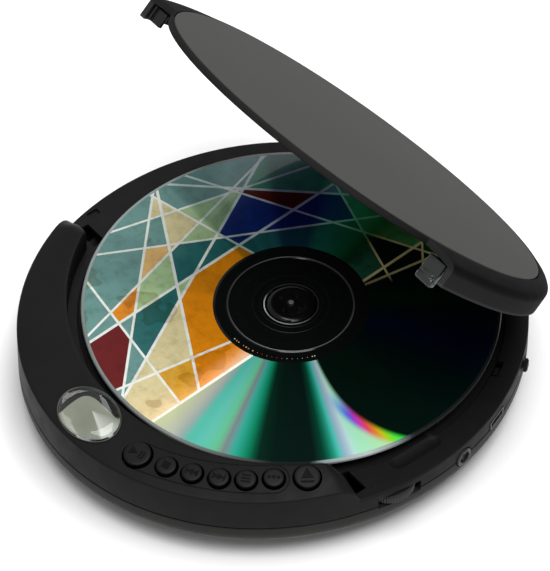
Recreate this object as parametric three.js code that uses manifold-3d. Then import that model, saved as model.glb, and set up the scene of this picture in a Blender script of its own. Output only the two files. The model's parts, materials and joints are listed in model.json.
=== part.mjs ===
// Portable compact-disc player with its lid open.
// Millimetres. +Z is up, the front (the control crescent) faces -Y, the lid is hinged at +Y.
// The row origin is on the table, under the middle of the case outline.
import * as THREE from 'three';
import { mergeVertices } from 'three/addons/utils/BufferGeometryUtils.js';
import Module from 'manifold-3d';

const wasm = await Module();
wasm.setup();

// ---------------------------------------------------------------- driving dimensions
const HALF_WIDTH = 69.9;          // the case outline is an ellipse
const HALF_DEPTH = 74.8;
const SPINDLE_Y = 6.4;            // the disc axis lies behind the middle of the outline

const FOOT_HEIGHT = 0.8;          // heights above the table
const FLOOR_TOP = 2.8;
const SEAM_Z = 12.5;
const SEAM_GAP = 0.4;
const DECK_Z = 17.7;
const DECK_UNDER = 16.4;
const WELL_Z = 17.3;
const DISC_TOP = 21.5;
const CRESCENT_OUTER_Z = 23.7;
const CRESCENT_INNER_Z = 26.5;
const LID_TOP = 26.6;

const ROUND = 72;                  // facets round the case outline
const WALL = 1.8;
const CLEAR = 0.3;                // gap between neighbouring pieces
const WELL_R = 61.2;
const CRESCENT_R = 63.9;          // inner wall of the control crescent
const HORN = { x: 54.5, y: -32.5, slope: 0.305 };   // line that ends the crescent on each side

const DISC_R = 60;
const DISC_T = 1.2;
const DISC_HOLE_R = 7.5;

const HINGE_Y = 63.7;             // measured from the disc axis, like every place below
const HINGE_Z = 22.2;
const HINGE_R = 1.9;
const BARREL_HALF = 15.5;
const EAR_OUTER = 18.4;
const LID_OPEN = THREE.MathUtils.degToRad(47.3);
const LID_FRONT_R = 63.4;
const LID_PLATE_R = 62.6;
const LID_RIM = DECK_Z + CLEAR;
const LID_WALL_TOP = 24.2;
const LID_FRONT_UNDER = 24.5;

const BUTTONS = [                 // places on the crescent, from the middle to its right end
  { name: 'play_button', x: 20.0, y: -70.6, r: 3.95 },
  { name: 'stop_button', x: 28.4, y: -67.0, r: 2.9 },
  { name: 'previous_button', x: 34.8, y: -63.0, r: 2.9 },
  { name: 'next_button', x: 40.9, y: -58.3, r: 2.9 },
  { name: 'program_button', x: 46.1, y: -52.9, r: 2.9 },
  { name: 'mode_button', x: 50.6, y: -46.7, r: 2.9 },
  { name: 'open_button', x: 56.0, y: -39.2, r: 3.65 },
];
const BUTTON_GAP = 0.4;
const MAT_TOP = 20.6;

const WINDOW = { y: -72.2, halfX: 10.4, halfY: 7.8 };      // clear dome over the display

// on the right side, by their angle round the disc axis, in degrees
const WHEEL = { angle: -13.5, r: 7.5, t: 2.6, z: 13.5, proud: 1.3 };
const JACK = { angle: 5.7, z: 12.5 };
const POWER = { angle: 19.3, z: 13.7 };
const HOLD = { angle: 38.0, z: 14.6 };
const LID_SWITCH = { x: 52.9, y: 32.3, turn: 31.4 };

const CELL_R = 7.0;
const CELL_LENGTH = 50;
const CELL_Z = 9.1;
const CELL_Y = [28.0, 42.6];

const COVER = { x: 26.4, y0: 19.6, y1: 50.0 };      // battery cover, which slides forward
const COVER_TRAVEL = 4;

const SCREWS = [[36.8, 36.8], [-36.8, 36.8], [-36.8, -36.8], [36.8, -36.8]];
const FEET = [[42, 28], [-42, 28], [-32, -54], [32, -54]];

const CHASSIS_Z = 9.4;
const CHASSIS_T = 1.0;
const ROD_Y = 11;
const ROD_Z = 13.0;
const SCREW_Y = -16.5;
const SCREW_Z = 12.2;
const LENS_REST_X = -23;

const rad = THREE.MathUtils.degToRad;

// ---------------------------------------------------------------- finishes
const finish = (color, roughness, metalness = 0) => () =>
  new THREE.MeshStandardMaterial({ color, roughness, metalness });
const caseBlack = finish(0x242425, 0.62);
const buttonBlack = finish(0x1c1c1d, 0.45);
const plateGrey = finish(0x585856, 0.5, 0.2);
const clearPlastic = finish(0xbfc6c4, 0.08);
const lcdGreen = finish(0x8f9a86, 0.3);
const rubber = finish(0x151515, 0.85);
const board = finish(0x1f4a2e, 0.5);
const steel = finish(0xb4b6b8, 0.35, 0.9);
const darkPlastic = finish(0x101011, 0.55);
const greyPlastic = finish(0x6b6f70, 0.4);
const discFace = finish(0x2c6a62, 0.2, 0.6);
const cellLabel = finish(0x27436b, 0.4, 0.3);
const spring = finish(0xc9cbcd, 0.25, 1);

// ---------------------------------------------------------------- solids
function closed(geometry) {
  const bare = geometry.index ? geometry.toNonIndexed() : geometry.clone();
  bare.deleteAttribute('normal');
  bare.deleteAttribute('uv');
  const merged = mergeVertices(bare, 1e-4);
  const p = merged.attributes.position;
  const corners = [];
  let volume = 0;
  const a = new THREE.Vector3(), b = new THREE.Vector3(), c = new THREE.Vector3();
  for (let i = 0; i < merged.index.count; i += 3) {
    const [u, v, w] = [0, 1, 2].map((k) => merged.index.getX(i + k));
    if (u === v || v === w || w === u) continue;
    corners.push([u, v, w]);
    a.fromBufferAttribute(p, u);
    b.fromBufferAttribute(p, v);
    c.fromBufferAttribute(p, w);
    volume += a.dot(b.cross(c));
  }
  if (volume < 0) corners.forEach((t) => t.reverse());
  return { points: p.array, corners: corners.flat() };
}

function solid(geometry) {
  const { points, corners } = closed(geometry);
  return new wasm.Manifold(new wasm.Mesh({
    numProp: 3,
    vertProperties: new Float32Array(points),
    triVerts: new Uint32Array(corners),
  }));
}

function toGeometry(body) {
  const mesh = body.getMesh();
  const geometry = new THREE.BufferGeometry();
  geometry.setAttribute('position', new THREE.BufferAttribute(mesh.vertProperties, 3));
  geometry.setIndex(new THREE.BufferAttribute(mesh.triVerts, 1));
  geometry.computeVertexNormals();
  return geometry;
}

// two distances from the middle, in order, on the right (side 1) or the left (side -1)
const sided = (side, a, b) => [Math.min(side * a, side * b), Math.max(side * a, side * b)];

const join = (first, ...rest) => rest.reduce((sum, s) => sum.add(s), first);
const cut = (first, ...rest) => rest.reduce((sum, s) => sum.subtract(s), first);

const boxGeometry = (x0, x1, y0, y1, z0, z1) =>
  new THREE.BoxGeometry(x1 - x0, y1 - y0, z1 - z0)
    .translate((x0 + x1) / 2, (y0 + y1) / 2, (z0 + z1) / 2);
const box = (...sides) => solid(boxGeometry(...sides));

const postGeometry = (r, z0, z1, x = 0, y = 0, sides = 24) =>
  new THREE.CylinderGeometry(r, r, z1 - z0, sides)
    .rotateX(Math.PI / 2).translate(x, y, (z0 + z1) / 2);
const post = (...args) => solid(postGeometry(...args));

// a round bar along X
const barGeometry = (r, x0, x1, y, z, sides = 24) =>
  new THREE.CylinderGeometry(r, r, x1 - x0, sides)
    .rotateZ(Math.PI / 2).translate((x0 + x1) / 2, y, z);
const bar = (...args) => solid(barGeometry(...args));

const turnedGeometry = (profile, sides = 32) =>
  new THREE.LatheGeometry(profile.map(([r, z]) => new THREE.Vector2(r, z)), sides)
    .rotateX(Math.PI / 2);
const turned = (...args) => solid(turnedGeometry(...args));

function slab(shape, z0, z1, curveSegments = 24) {
  const geometry = new THREE.ExtrudeGeometry(shape, { depth: z1 - z0, bevelEnabled: false, curveSegments });
  return solid(geometry.translate(0, 0, z0));
}

// ---------------------------------------------------------------- the case outline
// distance from the disc axis to the outline, in the direction of an angle
function caseRadius(angle) {
  const c = Math.cos(angle) / HALF_WIDTH;
  const s = Math.sin(angle) / HALF_DEPTH;
  const e = -SPINDLE_Y / HALF_DEPTH;
  const a = c * c + s * s;
  const b = s * e;
  return (b + Math.sqrt(b * b - a * (e * e - 1))) / a;
}

// radii that change round the body: a distance inside the outline, or a share of the way
// across the crescent's width
const inside = (distance) => (angle) => caseRadius(angle) - distance;
const across = (share, distance) => (angle) => {
  const inner = CRESCENT_R + distance;
  return inner + share * (caseRadius(angle) - distance - inner);
};

// a turned body of points [radius, z], whose radius may be one of the rules above
function loft(profile) {
  const round = profile.map(([r, z]) => [typeof r === 'function' ? HALF_WIDTH : r, z]);
  const geometry = turnedGeometry(round, ROUND);
  const p = geometry.attributes.position;
  for (let i = 0; i < p.count; i++) {
    const [rule] = profile[i % profile.length];
    if (typeof rule !== 'function') continue;
    const angle = Math.atan2(p.getY(i), p.getX(i));
    p.setXY(i, rule(angle) * Math.cos(angle), rule(angle) * Math.sin(angle));
  }
  return solid(geometry);
}

// the place and the outward direction of the outline at an angle in degrees
function outward(degrees) {
  const angle = rad(degrees);
  const r = caseRadius(angle);
  const x = r * Math.cos(angle);
  const y = r * Math.sin(angle);
  return { x, y, turn: Math.atan2((y + SPINDLE_Y) / HALF_DEPTH ** 2, x / HALF_WIDTH ** 2) };
}

// moves a geometry made with +X outward and its origin on the outline to its place on the side
function onSide(geometry, place, z) {
  const { x, y, turn } = outward(place.angle);
  return geometry.rotateZ(turn).translate(x, y, z);
}

// ---------------------------------------------------------------- the crescent's top surface
// its height at a share of the way from the inner wall to the case outline
const crescentHeight = (share) =>
  CRESCENT_INNER_Z - (CRESCENT_INNER_Z - CRESCENT_OUTER_Z) * (0.55 * share + 0.45 * share * share);

function crescentPoint(x, y) {
  const height = (px, py) => {
    const width = caseRadius(Math.atan2(py, px)) - CRESCENT_R;
    return crescentHeight((Math.hypot(px, py) - CRESCENT_R) / width);
  };
  const step = 0.5;
  const normal = new THREE.Vector3(
    (height(x - step, y) - height(x + step, y)) / (2 * step),
    (height(x, y - step) - height(x, y + step)) / (2 * step),
    1,
  ).normalize();
  return { place: new THREE.Vector3(x, y, height(x, y)), normal };
}

// moves a geometry made about the local Z axis onto the crescent, standing square to it
function onCrescent(geometry, x, y) {
  const { place, normal } = crescentPoint(x, y);
  const turn = new THREE.Quaternion().setFromUnitVectors(new THREE.Vector3(0, 0, 1), normal);
  return geometry.applyQuaternion(turn).translate(place.x, place.y, place.z);
}

// the part of the plan in front of the two horn lines, moved forward by an inset
function frontWedge(inset, z0, z1) {
  const far = 90;
  const shape = new THREE.Shape([
    new THREE.Vector2(-far, -far),
    new THREE.Vector2(far, -far),
    new THREE.Vector2(far, HORN.y - inset + HORN.slope * (far - HORN.x)),
    new THREE.Vector2(HORN.x, HORN.y - inset),
    new THREE.Vector2(-HORN.x, HORN.y - inset),
    new THREE.Vector2(-far, HORN.y - inset + HORN.slope * (far - HORN.x)),
  ]);
  return slab(shape, z0, z1);
}

function crescentBody(inset, z0, wedgeInset) {
  const steps = 4;
  const top = Array.from({ length: steps + 1 }, (_, i) =>
    [across(i / steps, inset), crescentHeight(i / steps) - inset]);
  const foot = [CRESCENT_R + inset, z0];
  return loft([foot, ...top, [inside(inset), z0], foot]).intersect(frontWedge(wedgeInset, 0, 40));
}

// ---------------------------------------------------------------- openings shared by both shells
const ellipseShape = (halfX, halfY, x = 0, y = 0) => {
  const shape = new THREE.Shape();
  shape.absellipse(x, y, halfX, halfY, 0, 2 * Math.PI);
  return shape;
};

function obroundShape(x0, x1, r) {
  const shape = new THREE.Shape();
  shape.absarc(x1, 0, r, -Math.PI / 2, Math.PI / 2);
  shape.absarc(x0, 0, r, Math.PI / 2, 1.5 * Math.PI);
  return shape;
}

const sideOpenings = () => [
  solid(onSide(boxGeometry(-12, 3, -7, 7, -2, 2), WHEEL, WHEEL.z)),
  solid(onSide(barGeometry(3.2, -4, 3, 0, 0), JACK, JACK.z)),
  solid(onSide(boxGeometry(-4, 3, -4.1, 4.1, -1.7, 1.7), POWER, POWER.z)),
  solid(onSide(boxGeometry(-4, 3, -2.6, 2.6, -0.9, 0.9), HOLD, HOLD.z)),
];

// ---------------------------------------------------------------- shells
function bottomCase() {
  const outer = loft([
    [0, FOOT_HEIGHT], [inside(10.6), FOOT_HEIGHT], [inside(9.6), 1.1], [inside(1.1), 8.6],
    [inside(0.35), 9.8], [inside(0), 11], [inside(0), SEAM_Z - SEAM_GAP / 2], [0, SEAM_Z - SEAM_GAP / 2],
  ]);
  const cavity = loft([
    [0, FLOOR_TOP], [inside(10.2), FLOOR_TOP], [inside(2.6), 9.3], [inside(WALL), 10.8],
    [inside(WALL), SEAM_Z + 1], [0, SEAM_Z + 1],
  ]);
  const bay = box(-27.6, 27.6, 19.2, 51.0, FLOOR_TOP - 0.5, 11.6);
  const bayRoom = box(-26.4, 26.4, 20.4, 50.0, 1.9, 14);
  const recess = box(
    -COVER.x - CLEAR, COVER.x + CLEAR, COVER.y0 - COVER_TRAVEL - CLEAR, COVER.y1 + CLEAR, 0, 1.9,
  );
  const bosses = SCREWS.map(([x, y]) => post(3.2, FLOOR_TOP - 0.5, 12.0, x, y, 12));
  const shell = join(cut(outer, cavity), bay, ...bosses);
  const holes = SCREWS.flatMap(([x, y]) => [post(1.5, 0, 14, x, y, 12), post(3.1, 0, 2.2, x, y, 12)]);
  const pockets = FEET.map(([x, y]) => post(4.8, 0, 1.5, x, y, 16));
  return cut(shell, bayRoom, recess, ...holes, ...pockets, ...sideOpenings());
}

function topCase() {
  const low = SEAM_Z + SEAM_GAP / 2;
  const outer = loft([
    [0, low], [inside(0), low], [inside(0), DECK_Z - 0.5], [inside(0.5), DECK_Z],
    [WELL_R, DECK_Z], [WELL_R - 0.4, WELL_Z], [0, WELL_Z],
  ]);
  const cavity = loft([
    [0, low - 1], [inside(WALL), low - 1], [inside(WALL), DECK_UNDER], [0, DECK_UNDER],
  ]);
  const horn = crescentBody(0, low, 0);
  const hornRoom = crescentBody(1.6, low - 1, 1.6);
  const screwPosts = SCREWS.map(([x, y]) => post(3.2, low, DECK_UNDER + 0.3, x, y, 12));
  const scoopPad = fingerScoop(4.2).intersect(box(50, 67, -20, 10, 10, DECK_Z - 0.4));
  const shell = join(cut(join(outer, horn), cavity, hornRoom), ...screwPosts, scoopPad, ...hingePosts());
  return cut(shell, ...topOpenings());
}

// the finger hollow beside the disc's edge: a round-ended groove of radius r
function fingerScoop(r) {
  const [y0, y1, x, z] = [-10.3, -0.6, 61.4, 19.4];
  const path = new THREE.CapsuleGeometry(r, y1 - y0, 4, 16);
  return solid(path.translate(x, (y0 + y1) / 2, z));
}

// barrel on a wedge-shaped foot, at the back of the deck
function hingePosts() {
  const foot = new THREE.Shape([
    new THREE.Vector2(HINGE_Y - 1.5, DECK_Z - 0.6), new THREE.Vector2(66.4, DECK_Z - 0.6),
    new THREE.Vector2(66.2, 18.8), new THREE.Vector2(HINGE_Y + 1.4, 21.6),
    new THREE.Vector2(HINGE_Y - 1.5, 21.6),
  ]);
  const along = new THREE.ExtrudeGeometry(foot, { depth: 2 * BARREL_HALF, bevelEnabled: false });
  along.applyMatrix4(new THREE.Matrix4().makeBasis(
    new THREE.Vector3(0, 1, 0), new THREE.Vector3(0, 0, 1), new THREE.Vector3(1, 0, 0),
  )).translate(-BARREL_HALF, 0, 0);
  return [solid(along), bar(HINGE_R, -BARREL_HALF, BARREL_HALF, HINGE_Y, HINGE_Z)];
}

function topOpenings() {
  const buttonHoles = BUTTONS.map(({ x, y, r }) =>
    solid(onCrescent(postGeometry(r + BUTTON_GAP, -8, 5, 0, 0, 24), x, y)));
  const frame = solid(onCrescent(
    new THREE.ExtrudeGeometry(ellipseShape(WINDOW.halfX + CLEAR, WINDOW.halfY + CLEAR),
      { depth: 9, bevelEnabled: false, curveSegments: 20 }).translate(0, 0, -5.5),
    0, WINDOW.y,
  ));
  const lensSlot = slab(obroundShape(-56, -20, 6.5), 15, 19);
  const latchSlots = [1, -1].map((side) =>
    box(...sided(side, 55.6, 63.8), -28.7, -24.5, 15, 19));
  const switchSlot = solid(boxGeometry(-1, 1, -3, 3, -3, 3)
    .rotateZ(rad(LID_SWITCH.turn)).translate(LID_SWITCH.x, LID_SWITCH.y, DECK_Z));
  const pinHoles = [1, -1].map((side) =>
    bar(1.1, ...sided(side, 8, 20), HINGE_Y, HINGE_Z, 16));
  const screwHoles = SCREWS.map(([x, y]) => post(1.4, 10, 15.4, x, y, 12));
  const smallSlot = box(-67.2, -65.2, -22.4, -18.8, 17.0, 19);
  return [
    ...buttonHoles, frame, lensSlot, post(15, 15, 19, 0, 0, 36), ...latchSlots, switchSlot,
    ...pinHoles, ...screwHoles, fingerScoop(3.3), smallSlot, ...sideOpenings(),
  ];
}

// ---------------------------------------------------------------- lid, drawn closed
function lidShell() {
  const base = 25.2;
  const cap = turned([
    [0, LID_FRONT_UNDER], [LID_FRONT_R, LID_FRONT_UNDER], [LID_FRONT_R, 26.2], [LID_FRONT_R - 0.2, 26.4],
    [LID_PLATE_R + 0.1, 26.4], [LID_PLATE_R + 0.1, base], [0, base],
  ], ROUND);
  const skirt = loft([
    [LID_PLATE_R + 0.1, LID_FRONT_UNDER], [inside(2.1), 23.4], [inside(2.1), LID_RIM], [inside(0.3), LID_RIM],
    [inside(0.3), LID_WALL_TOP - 0.3], [inside(0.8), LID_WALL_TOP + 0.4], [inside(1.8), LID_WALL_TOP + 0.9],
    [LID_FRONT_R, 26.4], [LID_PLATE_R + 0.1, 26.4], [LID_PLATE_R + 0.1, LID_FRONT_UNDER],
  ]);
  const back = skirt.subtract(frontWedge(-0.5, 0, 40));
  const ears = [1, -1].flatMap((side) => {
    const [x0, x1] = sided(side, BARREL_HALF + CLEAR, EAR_OUTER);
    return [
      bar(HINGE_R, x0, x1, HINGE_Y, HINGE_Z),
      box(x0, x1, HINGE_Y - HINGE_R, HINGE_Y + HINGE_R, HINGE_Z, LID_FRONT_UNDER + 0.3),
    ];
  });
  const notch = join(box(-20, 20, 60, 75, 15, 23.2), box(-15.8, 15.8, 60, 66.2, 15, LID_FRONT_UNDER));
  const bores = [1, -1].map((side) =>
    bar(1.1, ...sided(side, 14, 17.6), HINGE_Y, HINGE_Z, 16));
  return cut(join(cut(join(cap, back), notch), ...ears), ...bores);
}

function lidPlate() {
  const low = 25.5;
  return turned([
    [0, low], [LID_PLATE_R - CLEAR, low], [LID_PLATE_R - CLEAR, LID_TOP - 0.2],
    [LID_PLATE_R - CLEAR - 0.2, LID_TOP], [0, LID_TOP],
  ], ROUND);
}

// hook under the skirt's right end: a stem with a thicker foot, which reaches through the deck
const lidHook = () => join(
  box(56.6, 63.0, -27.2, -25.6, 17.4, 23.1), box(56.6, 63.0, -28.0, -25.2, 15.4, 18.0),
);

// short tab under its left end, with a rib along its outer side
const lidTab = () => join(
  box(-63.4, -59.6, -27.2, -25.6, 18.6, 23.1), box(-63.9, -63.3, -28.0, -25.6, 18.6, 23.1),
);

const discClamp = () => turned([
  [8.6, 24.2], [8.6, 23.2], [9.4, 22.9], [11.4, 22.9], [12.2, 23.4], [12.2, 24.2], [8.6, 24.2],
]);

// ---------------------------------------------------------------- controls
function button({ x, y, r }) {
  const profile = [
    [0, 1.2], [0.6 * r, 1.14], [0.88 * r, 0.95], [r - 0.1, 0.7], [r, 0.45],
    [r, -2.0], [1.2, -2.0], [1.2, -3.0], [0, -3.0],
  ];
  return solid(onCrescent(turnedGeometry(profile, 20), x, y));
}

function displayWindow() {
  const { halfX, halfY, y } = WINDOW;
  const dome = turnedGeometry([
    [0, 2.2], [0.45 * halfY, 2.0], [0.75 * halfY, 1.4], [0.92 * halfY, 0.7], [halfY, -0.1],
    [halfY, -1.8], [0, -1.8],
  ], 32).scale(halfX / halfY, 1, 1);
  return solid(onCrescent(dome, 0, y));
}

const displayModule = () => solid(onCrescent(boxGeometry(-9.5, 9.5, -6, 6, -4.6, -2.2), 0, WINDOW.y));

// a strip under the six keys, as wide as 2 * half
function keyStrip(half, z0, z1) {
  const keys = BUTTONS.slice(0, 6);
  const along = keys.map(({ x, y }) => ({ r: Math.hypot(x, y), a: Math.atan2(y, x) }));
  const ends = [{ ...along[0], a: along[0].a - 0.06 }, ...along, { ...along[5], a: along[5].a + 0.05 }];
  const edge = (offset) => ends.map(({ r, a }) =>
    new THREE.Vector2((r + offset) * Math.cos(a), (r + offset) * Math.sin(a)));
  return slab(new THREE.Shape([...edge(half), ...edge(-half).reverse()]), z0, z1);
}

function buttonMat() {
  const domes = BUTTONS.slice(0, 6).map(({ x, y }) => post(1.9, MAT_TOP - 0.2, MAT_TOP + 0.3, x, y, 12));
  return join(keyStrip(2.6, MAT_TOP - 1.0, MAT_TOP), ...domes);
}

// slider that the open button pushes: bar under the deck and a riser under the button
const latchSlider = () => join(
  box(56.4, 59.0, -41.6, -29.1, 13.2, 15.0),
  box(54.6, 57.6, -41.6, -37.6, 14.6, 20.4),
);

function volumeWheel() {
  const { r, t, proud } = WHEEL;
  const teeth = 30;
  const shape = new THREE.Shape();
  for (let i = 0; i < 2 * teeth; i++) {
    const a = (i * Math.PI) / teeth;
    const radius = i % 2 ? r : r - 0.35;
    shape[i ? 'lineTo' : 'moveTo'](radius * Math.cos(a), radius * Math.sin(a));
  }
  const hole = new THREE.Path();
  hole.absarc(0, 0, 1.9, 0, 2 * Math.PI, true);
  shape.holes.push(hole);
  const wheel = new THREE.ExtrudeGeometry(shape, { depth: t, bevelEnabled: false, curveSegments: 12 });
  return solid(onSide(wheel.translate(proud - r, 0, -t / 2), WHEEL, WHEEL.z));
}

function volumeControl() {
  const { r, proud } = WHEEL;
  const local = (geometry) => solid(onSide(geometry, WHEEL, WHEEL.z));
  return join(
    local(boxGeometry(proud - r - 5, proud - r + 1.8, -4.5, 4.5, -5.6, -1.7)),
    local(postGeometry(1.55, -2, 1.2, proud - r, 0, 20)),
  );
}

function headphoneJack() {
  const local = (geometry) => solid(onSide(geometry, JACK, JACK.z));
  const body = join(
    local(barGeometry(2.85, -4.2, 0.5, 0, 0, 32)),
    local(boxGeometry(-13, -3.4, -2.8, 2.8, -2.6, 2.2)),
  );
  return body.subtract(local(barGeometry(1.8, -12, 2, 0, 0, 24)));
}

function powerSocket() {
  const local = (geometry) => solid(onSide(geometry, POWER, POWER.z));
  const shell = local(boxGeometry(-8, 0.1, -3.75, 3.75, -1.35, 1.35));
  const mouth = local(boxGeometry(-5.4, 1, -3.3, 3.3, -0.95, 0.95));
  return join(shell.subtract(mouth), local(boxGeometry(-6, -0.8, -2.4, 2.4, -0.3, 0.3)));
}

function holdKnob() {
  const local = (geometry) => solid(onSide(geometry, HOLD, HOLD.z));
  const ribs = [-1, 0, 1].map((k) =>
    local(boxGeometry(1.2, 1.55, k * 0.9 - 1.45, k * 0.9 - 0.95, -1.2, 1.2)));
  return join(
    local(boxGeometry(0.35, 1.3, -2.8, 0.4, -1.2, 1.2)),
    local(boxGeometry(-2.6, 0.5, -2.0, -0.4, -0.6, 0.6)),
    ...ribs,
  );
}

const holdSwitch = () => solid(onSide(boxGeometry(-6.4, -3.0, -4, 3.4, -1.7, 1.5), HOLD, HOLD.z));

function lidSwitch() {
  const local = (geometry) =>
    solid(geometry.rotateZ(rad(LID_SWITCH.turn)).translate(LID_SWITCH.x, LID_SWITCH.y, 0));
  const lever = boxGeometry(-0.6, 0.6, -2.2, 0.6, 15.8, 17.5);
  return join(local(boxGeometry(-2.2, 2.2, -3.4, 1.2, 12.9, 16.0)), local(lever));
}

// ---------------------------------------------------------------- disc drive
const turntable = () => turned([
  [0, 16.8], [1.2, 16.8], [1.2, 11.0], [4, 11.0], [4, 18.4], [13.5, 18.4], [13.5, 20.0],
  [7.15, 20.0], [7.15, 21.6], [6.6, 22.3], [4.6, 22.5], [4.0, 22.1], [0, 22.1],
], 32);

const compactDisc = () => turned([
  [DISC_HOLE_R, DISC_TOP - DISC_T], [DISC_R, DISC_TOP - DISC_T], [DISC_R, DISC_TOP],
  [DISC_HOLE_R, DISC_TOP], [DISC_HOLE_R, DISC_TOP - DISC_T],
], ROUND);

const spindleMotor = () => turned([
  [0, 3.9], [10.4, 3.9], [11, 4.5], [11, 8.6], [10.4, 9.1], [3, 9.1], [3, 9.9],
  [0.9, 9.9], [0.9, 16.4], [0, 16.4],
]);

function mechanismChassis() {
  const top = CHASSIS_Z + CHASSIS_T;
  const plate = join(
    box(-64.4, 14, -14, 14, CHASSIS_Z, top),
    box(-61, 14, -22, 18.6, CHASSIS_Z, top),
  );
  const rodEnds = [-63.5, -11.7].flatMap((x) => [1, -1].map((side) =>
    box(x - 0.7, x + 0.7, side * ROD_Y - 2.2, side * ROD_Y + 2.2, top - 0.4, ROD_Z + 2.2)));
  const screwEnd = box(-60.8, -59.4, SCREW_Y - 2.3, SCREW_Y + 2.3, top - 0.4, SCREW_Z + 2.2);
  const bores = [
    bar(1.3, -66, -9, ROD_Y, ROD_Z, 16), bar(1.3, -66, -9, -ROD_Y, ROD_Z, 16),
    bar(1.5, -62, -58, SCREW_Y, SCREW_Z, 16),
  ];
  const motorNotch = box(-10.9, 5.5, -23, -11.8, CHASSIS_Z - 1, top + 1);
  return cut(join(plate, ...rodEnds, screwEnd), ...bores, motorNotch, post(6, 0, 20));
}

const guideRod = (side) => bar(1.0, -64.1, -11.1, side * ROD_Y, ROD_Z, 20);
const leadScrew = () => bar(1.2, -60.7, -10.8, SCREW_Y, SCREW_Z, 20);

const sledMotor = () => join(
  bar(4.1, -10.4, 4.2, SCREW_Y - 0.3, SCREW_Z), bar(1.3, 4.0, 5.0, SCREW_Y - 0.3, SCREW_Z, 16),
);

function pickupSled() {
  const x = LENS_REST_X;
  const body = box(x - 7, x + 7, -13, 13, 11.0, 15.4);
  const arm = box(x - 3, x + 3, -18.8, -12.5, 10.8, 14.2);
  const bores = [
    bar(1.35, x - 9, x + 9, ROD_Y, ROD_Z, 16), bar(1.35, x - 9, x + 9, -ROD_Y, ROD_Z, 16),
    bar(1.55, x - 9, x + 9, SCREW_Y, SCREW_Z, 16),
  ];
  return cut(join(body, arm), ...bores);
}

const pickupLens = () => join(
  box(LENS_REST_X - 3.4, LENS_REST_X + 3.4, -3.4, 3.4, 16.0, 17.2),
  solid(turnedGeometry([[0, 17.0], [2.4, 17.0], [2.3, 17.6], [1.7, 18.0], [0.9, 18.2], [0, 18.3]], 24)
    .translate(LENS_REST_X, 0, 0)),
);

// ---------------------------------------------------------------- boards and power
function mainBoard() {
  const plate = box(17, 50, -33, 16, 6.0, 7.2);
  const chips = [[24, -18, 12, 12, 1.4], [40, -8, 9, 7, 1.2], [26, 6, 7, 5, 1.8], [43, 8, 5, 5, 3.2]].map(
    ([x, y, w, d, h]) => box(x - w / 2, x + w / 2, y - d / 2, y + d / 2, 7.0, 7.2 + h));
  return join(plate, ...chips);
}

const controlBoard = () => keyStrip(2.8, MAT_TOP - 2.4, MAT_TOP - 1.3);

function cell(y, side) {
  const half = CELL_LENGTH / 2 - 0.5;
  const can = new THREE.LatheGeometry([
    [0, -half], [CELL_R - 0.6, -half], [CELL_R, -half + 0.6], [CELL_R, half - 1.6], [CELL_R - 0.6, half - 1],
    [2.75, half - 1], [2.75, half], [0, half],
  ].map(([r, h]) => new THREE.Vector2(r, h)), 24);
  return solid(can.rotateZ((-side * Math.PI) / 2).translate(0, y, CELL_Z));
}

function batteryContact(side) {
  const plate = box(...sided(side, 25.5, 25.9), 21.6, 49.0, 3.4, 14.6);
  const bumps = CELL_Y.map((y) =>
    bar(2.4, ...sided(side, 24.9, 25.7), y, CELL_Z, 12));
  return join(plate, ...bumps);
}

function batteryCover() {
  const plate = box(-COVER.x, COVER.x, COVER.y0, COVER.y1, FOOT_HEIGHT + 0.05, 1.6);
  const grips = [0, 1, 2, 3].map((k) =>
    box(-7, 7, COVER.y0 + 3 + 1.6 * k, COVER.y0 + 3.8 + 1.6 * k, 0, FOOT_HEIGHT + 0.35));
  return cut(plate, ...grips);
}

const foot = (x, y) => post(4.5, 0, 1.2, x, y);

function caseScrew(x, y) {
  const head = turnedGeometry([
    [0, 1.5], [0.9, 1.5], [0.9, 0.95], [2.2, 0.95], [2.6, 1.3], [2.6, 2.0], [1.1, 2.0],
    [1.1, 13.8], [0, 13.8],
  ], 12);
  return solid(head.translate(x, y, 0));
}

const hingePin = (side) =>
  bar(0.8, ...sided(side, 9, 17.2), HINGE_Y, HINGE_Z, 16);

// ---------------------------------------------------------------- the assembly
const player = new THREE.Group();
const machine = new THREE.Group();          // every place above is measured from the disc axis
machine.position.y = SPINDLE_Y;
player.add(machine);

const lid = new THREE.Group();              // turned open about the hinge
lid.position.set(0, HINGE_Y, HINGE_Z);
lid.rotation.x = -LID_OPEN;
machine.add(lid);

function place(group, name, body, material) {
  const mesh = new THREE.Mesh(toGeometry(body), material());
  mesh.name = name;
  if (group === lid) mesh.position.set(0, -HINGE_Y, -HINGE_Z);
  group.add(mesh);
}
const fixed = (...args) => place(machine, ...args);

fixed('bottom_case', bottomCase(), caseBlack);
fixed('top_case', topCase(), caseBlack);
fixed('display_window', displayWindow(), clearPlastic);
fixed('display_module', displayModule(), lcdGreen);
fixed('button_mat', buttonMat(), rubber);
fixed('control_board', controlBoard(), board);
fixed('main_board', mainBoard(), board);
fixed('headphone_jack', headphoneJack(), steel);
fixed('power_socket', powerSocket(), darkPlastic);
fixed('volume_control', volumeControl(), darkPlastic);
fixed('volume_wheel', volumeWheel(), buttonBlack);
fixed('hold_switch', holdSwitch(), darkPlastic);
fixed('hold_knob', holdKnob(), buttonBlack);
fixed('lid_switch', lidSwitch(), darkPlastic);
fixed('lid_latch', latchSlider(), greyPlastic);
for (const key of BUTTONS) fixed(key.name, button(key), buttonBlack);

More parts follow.
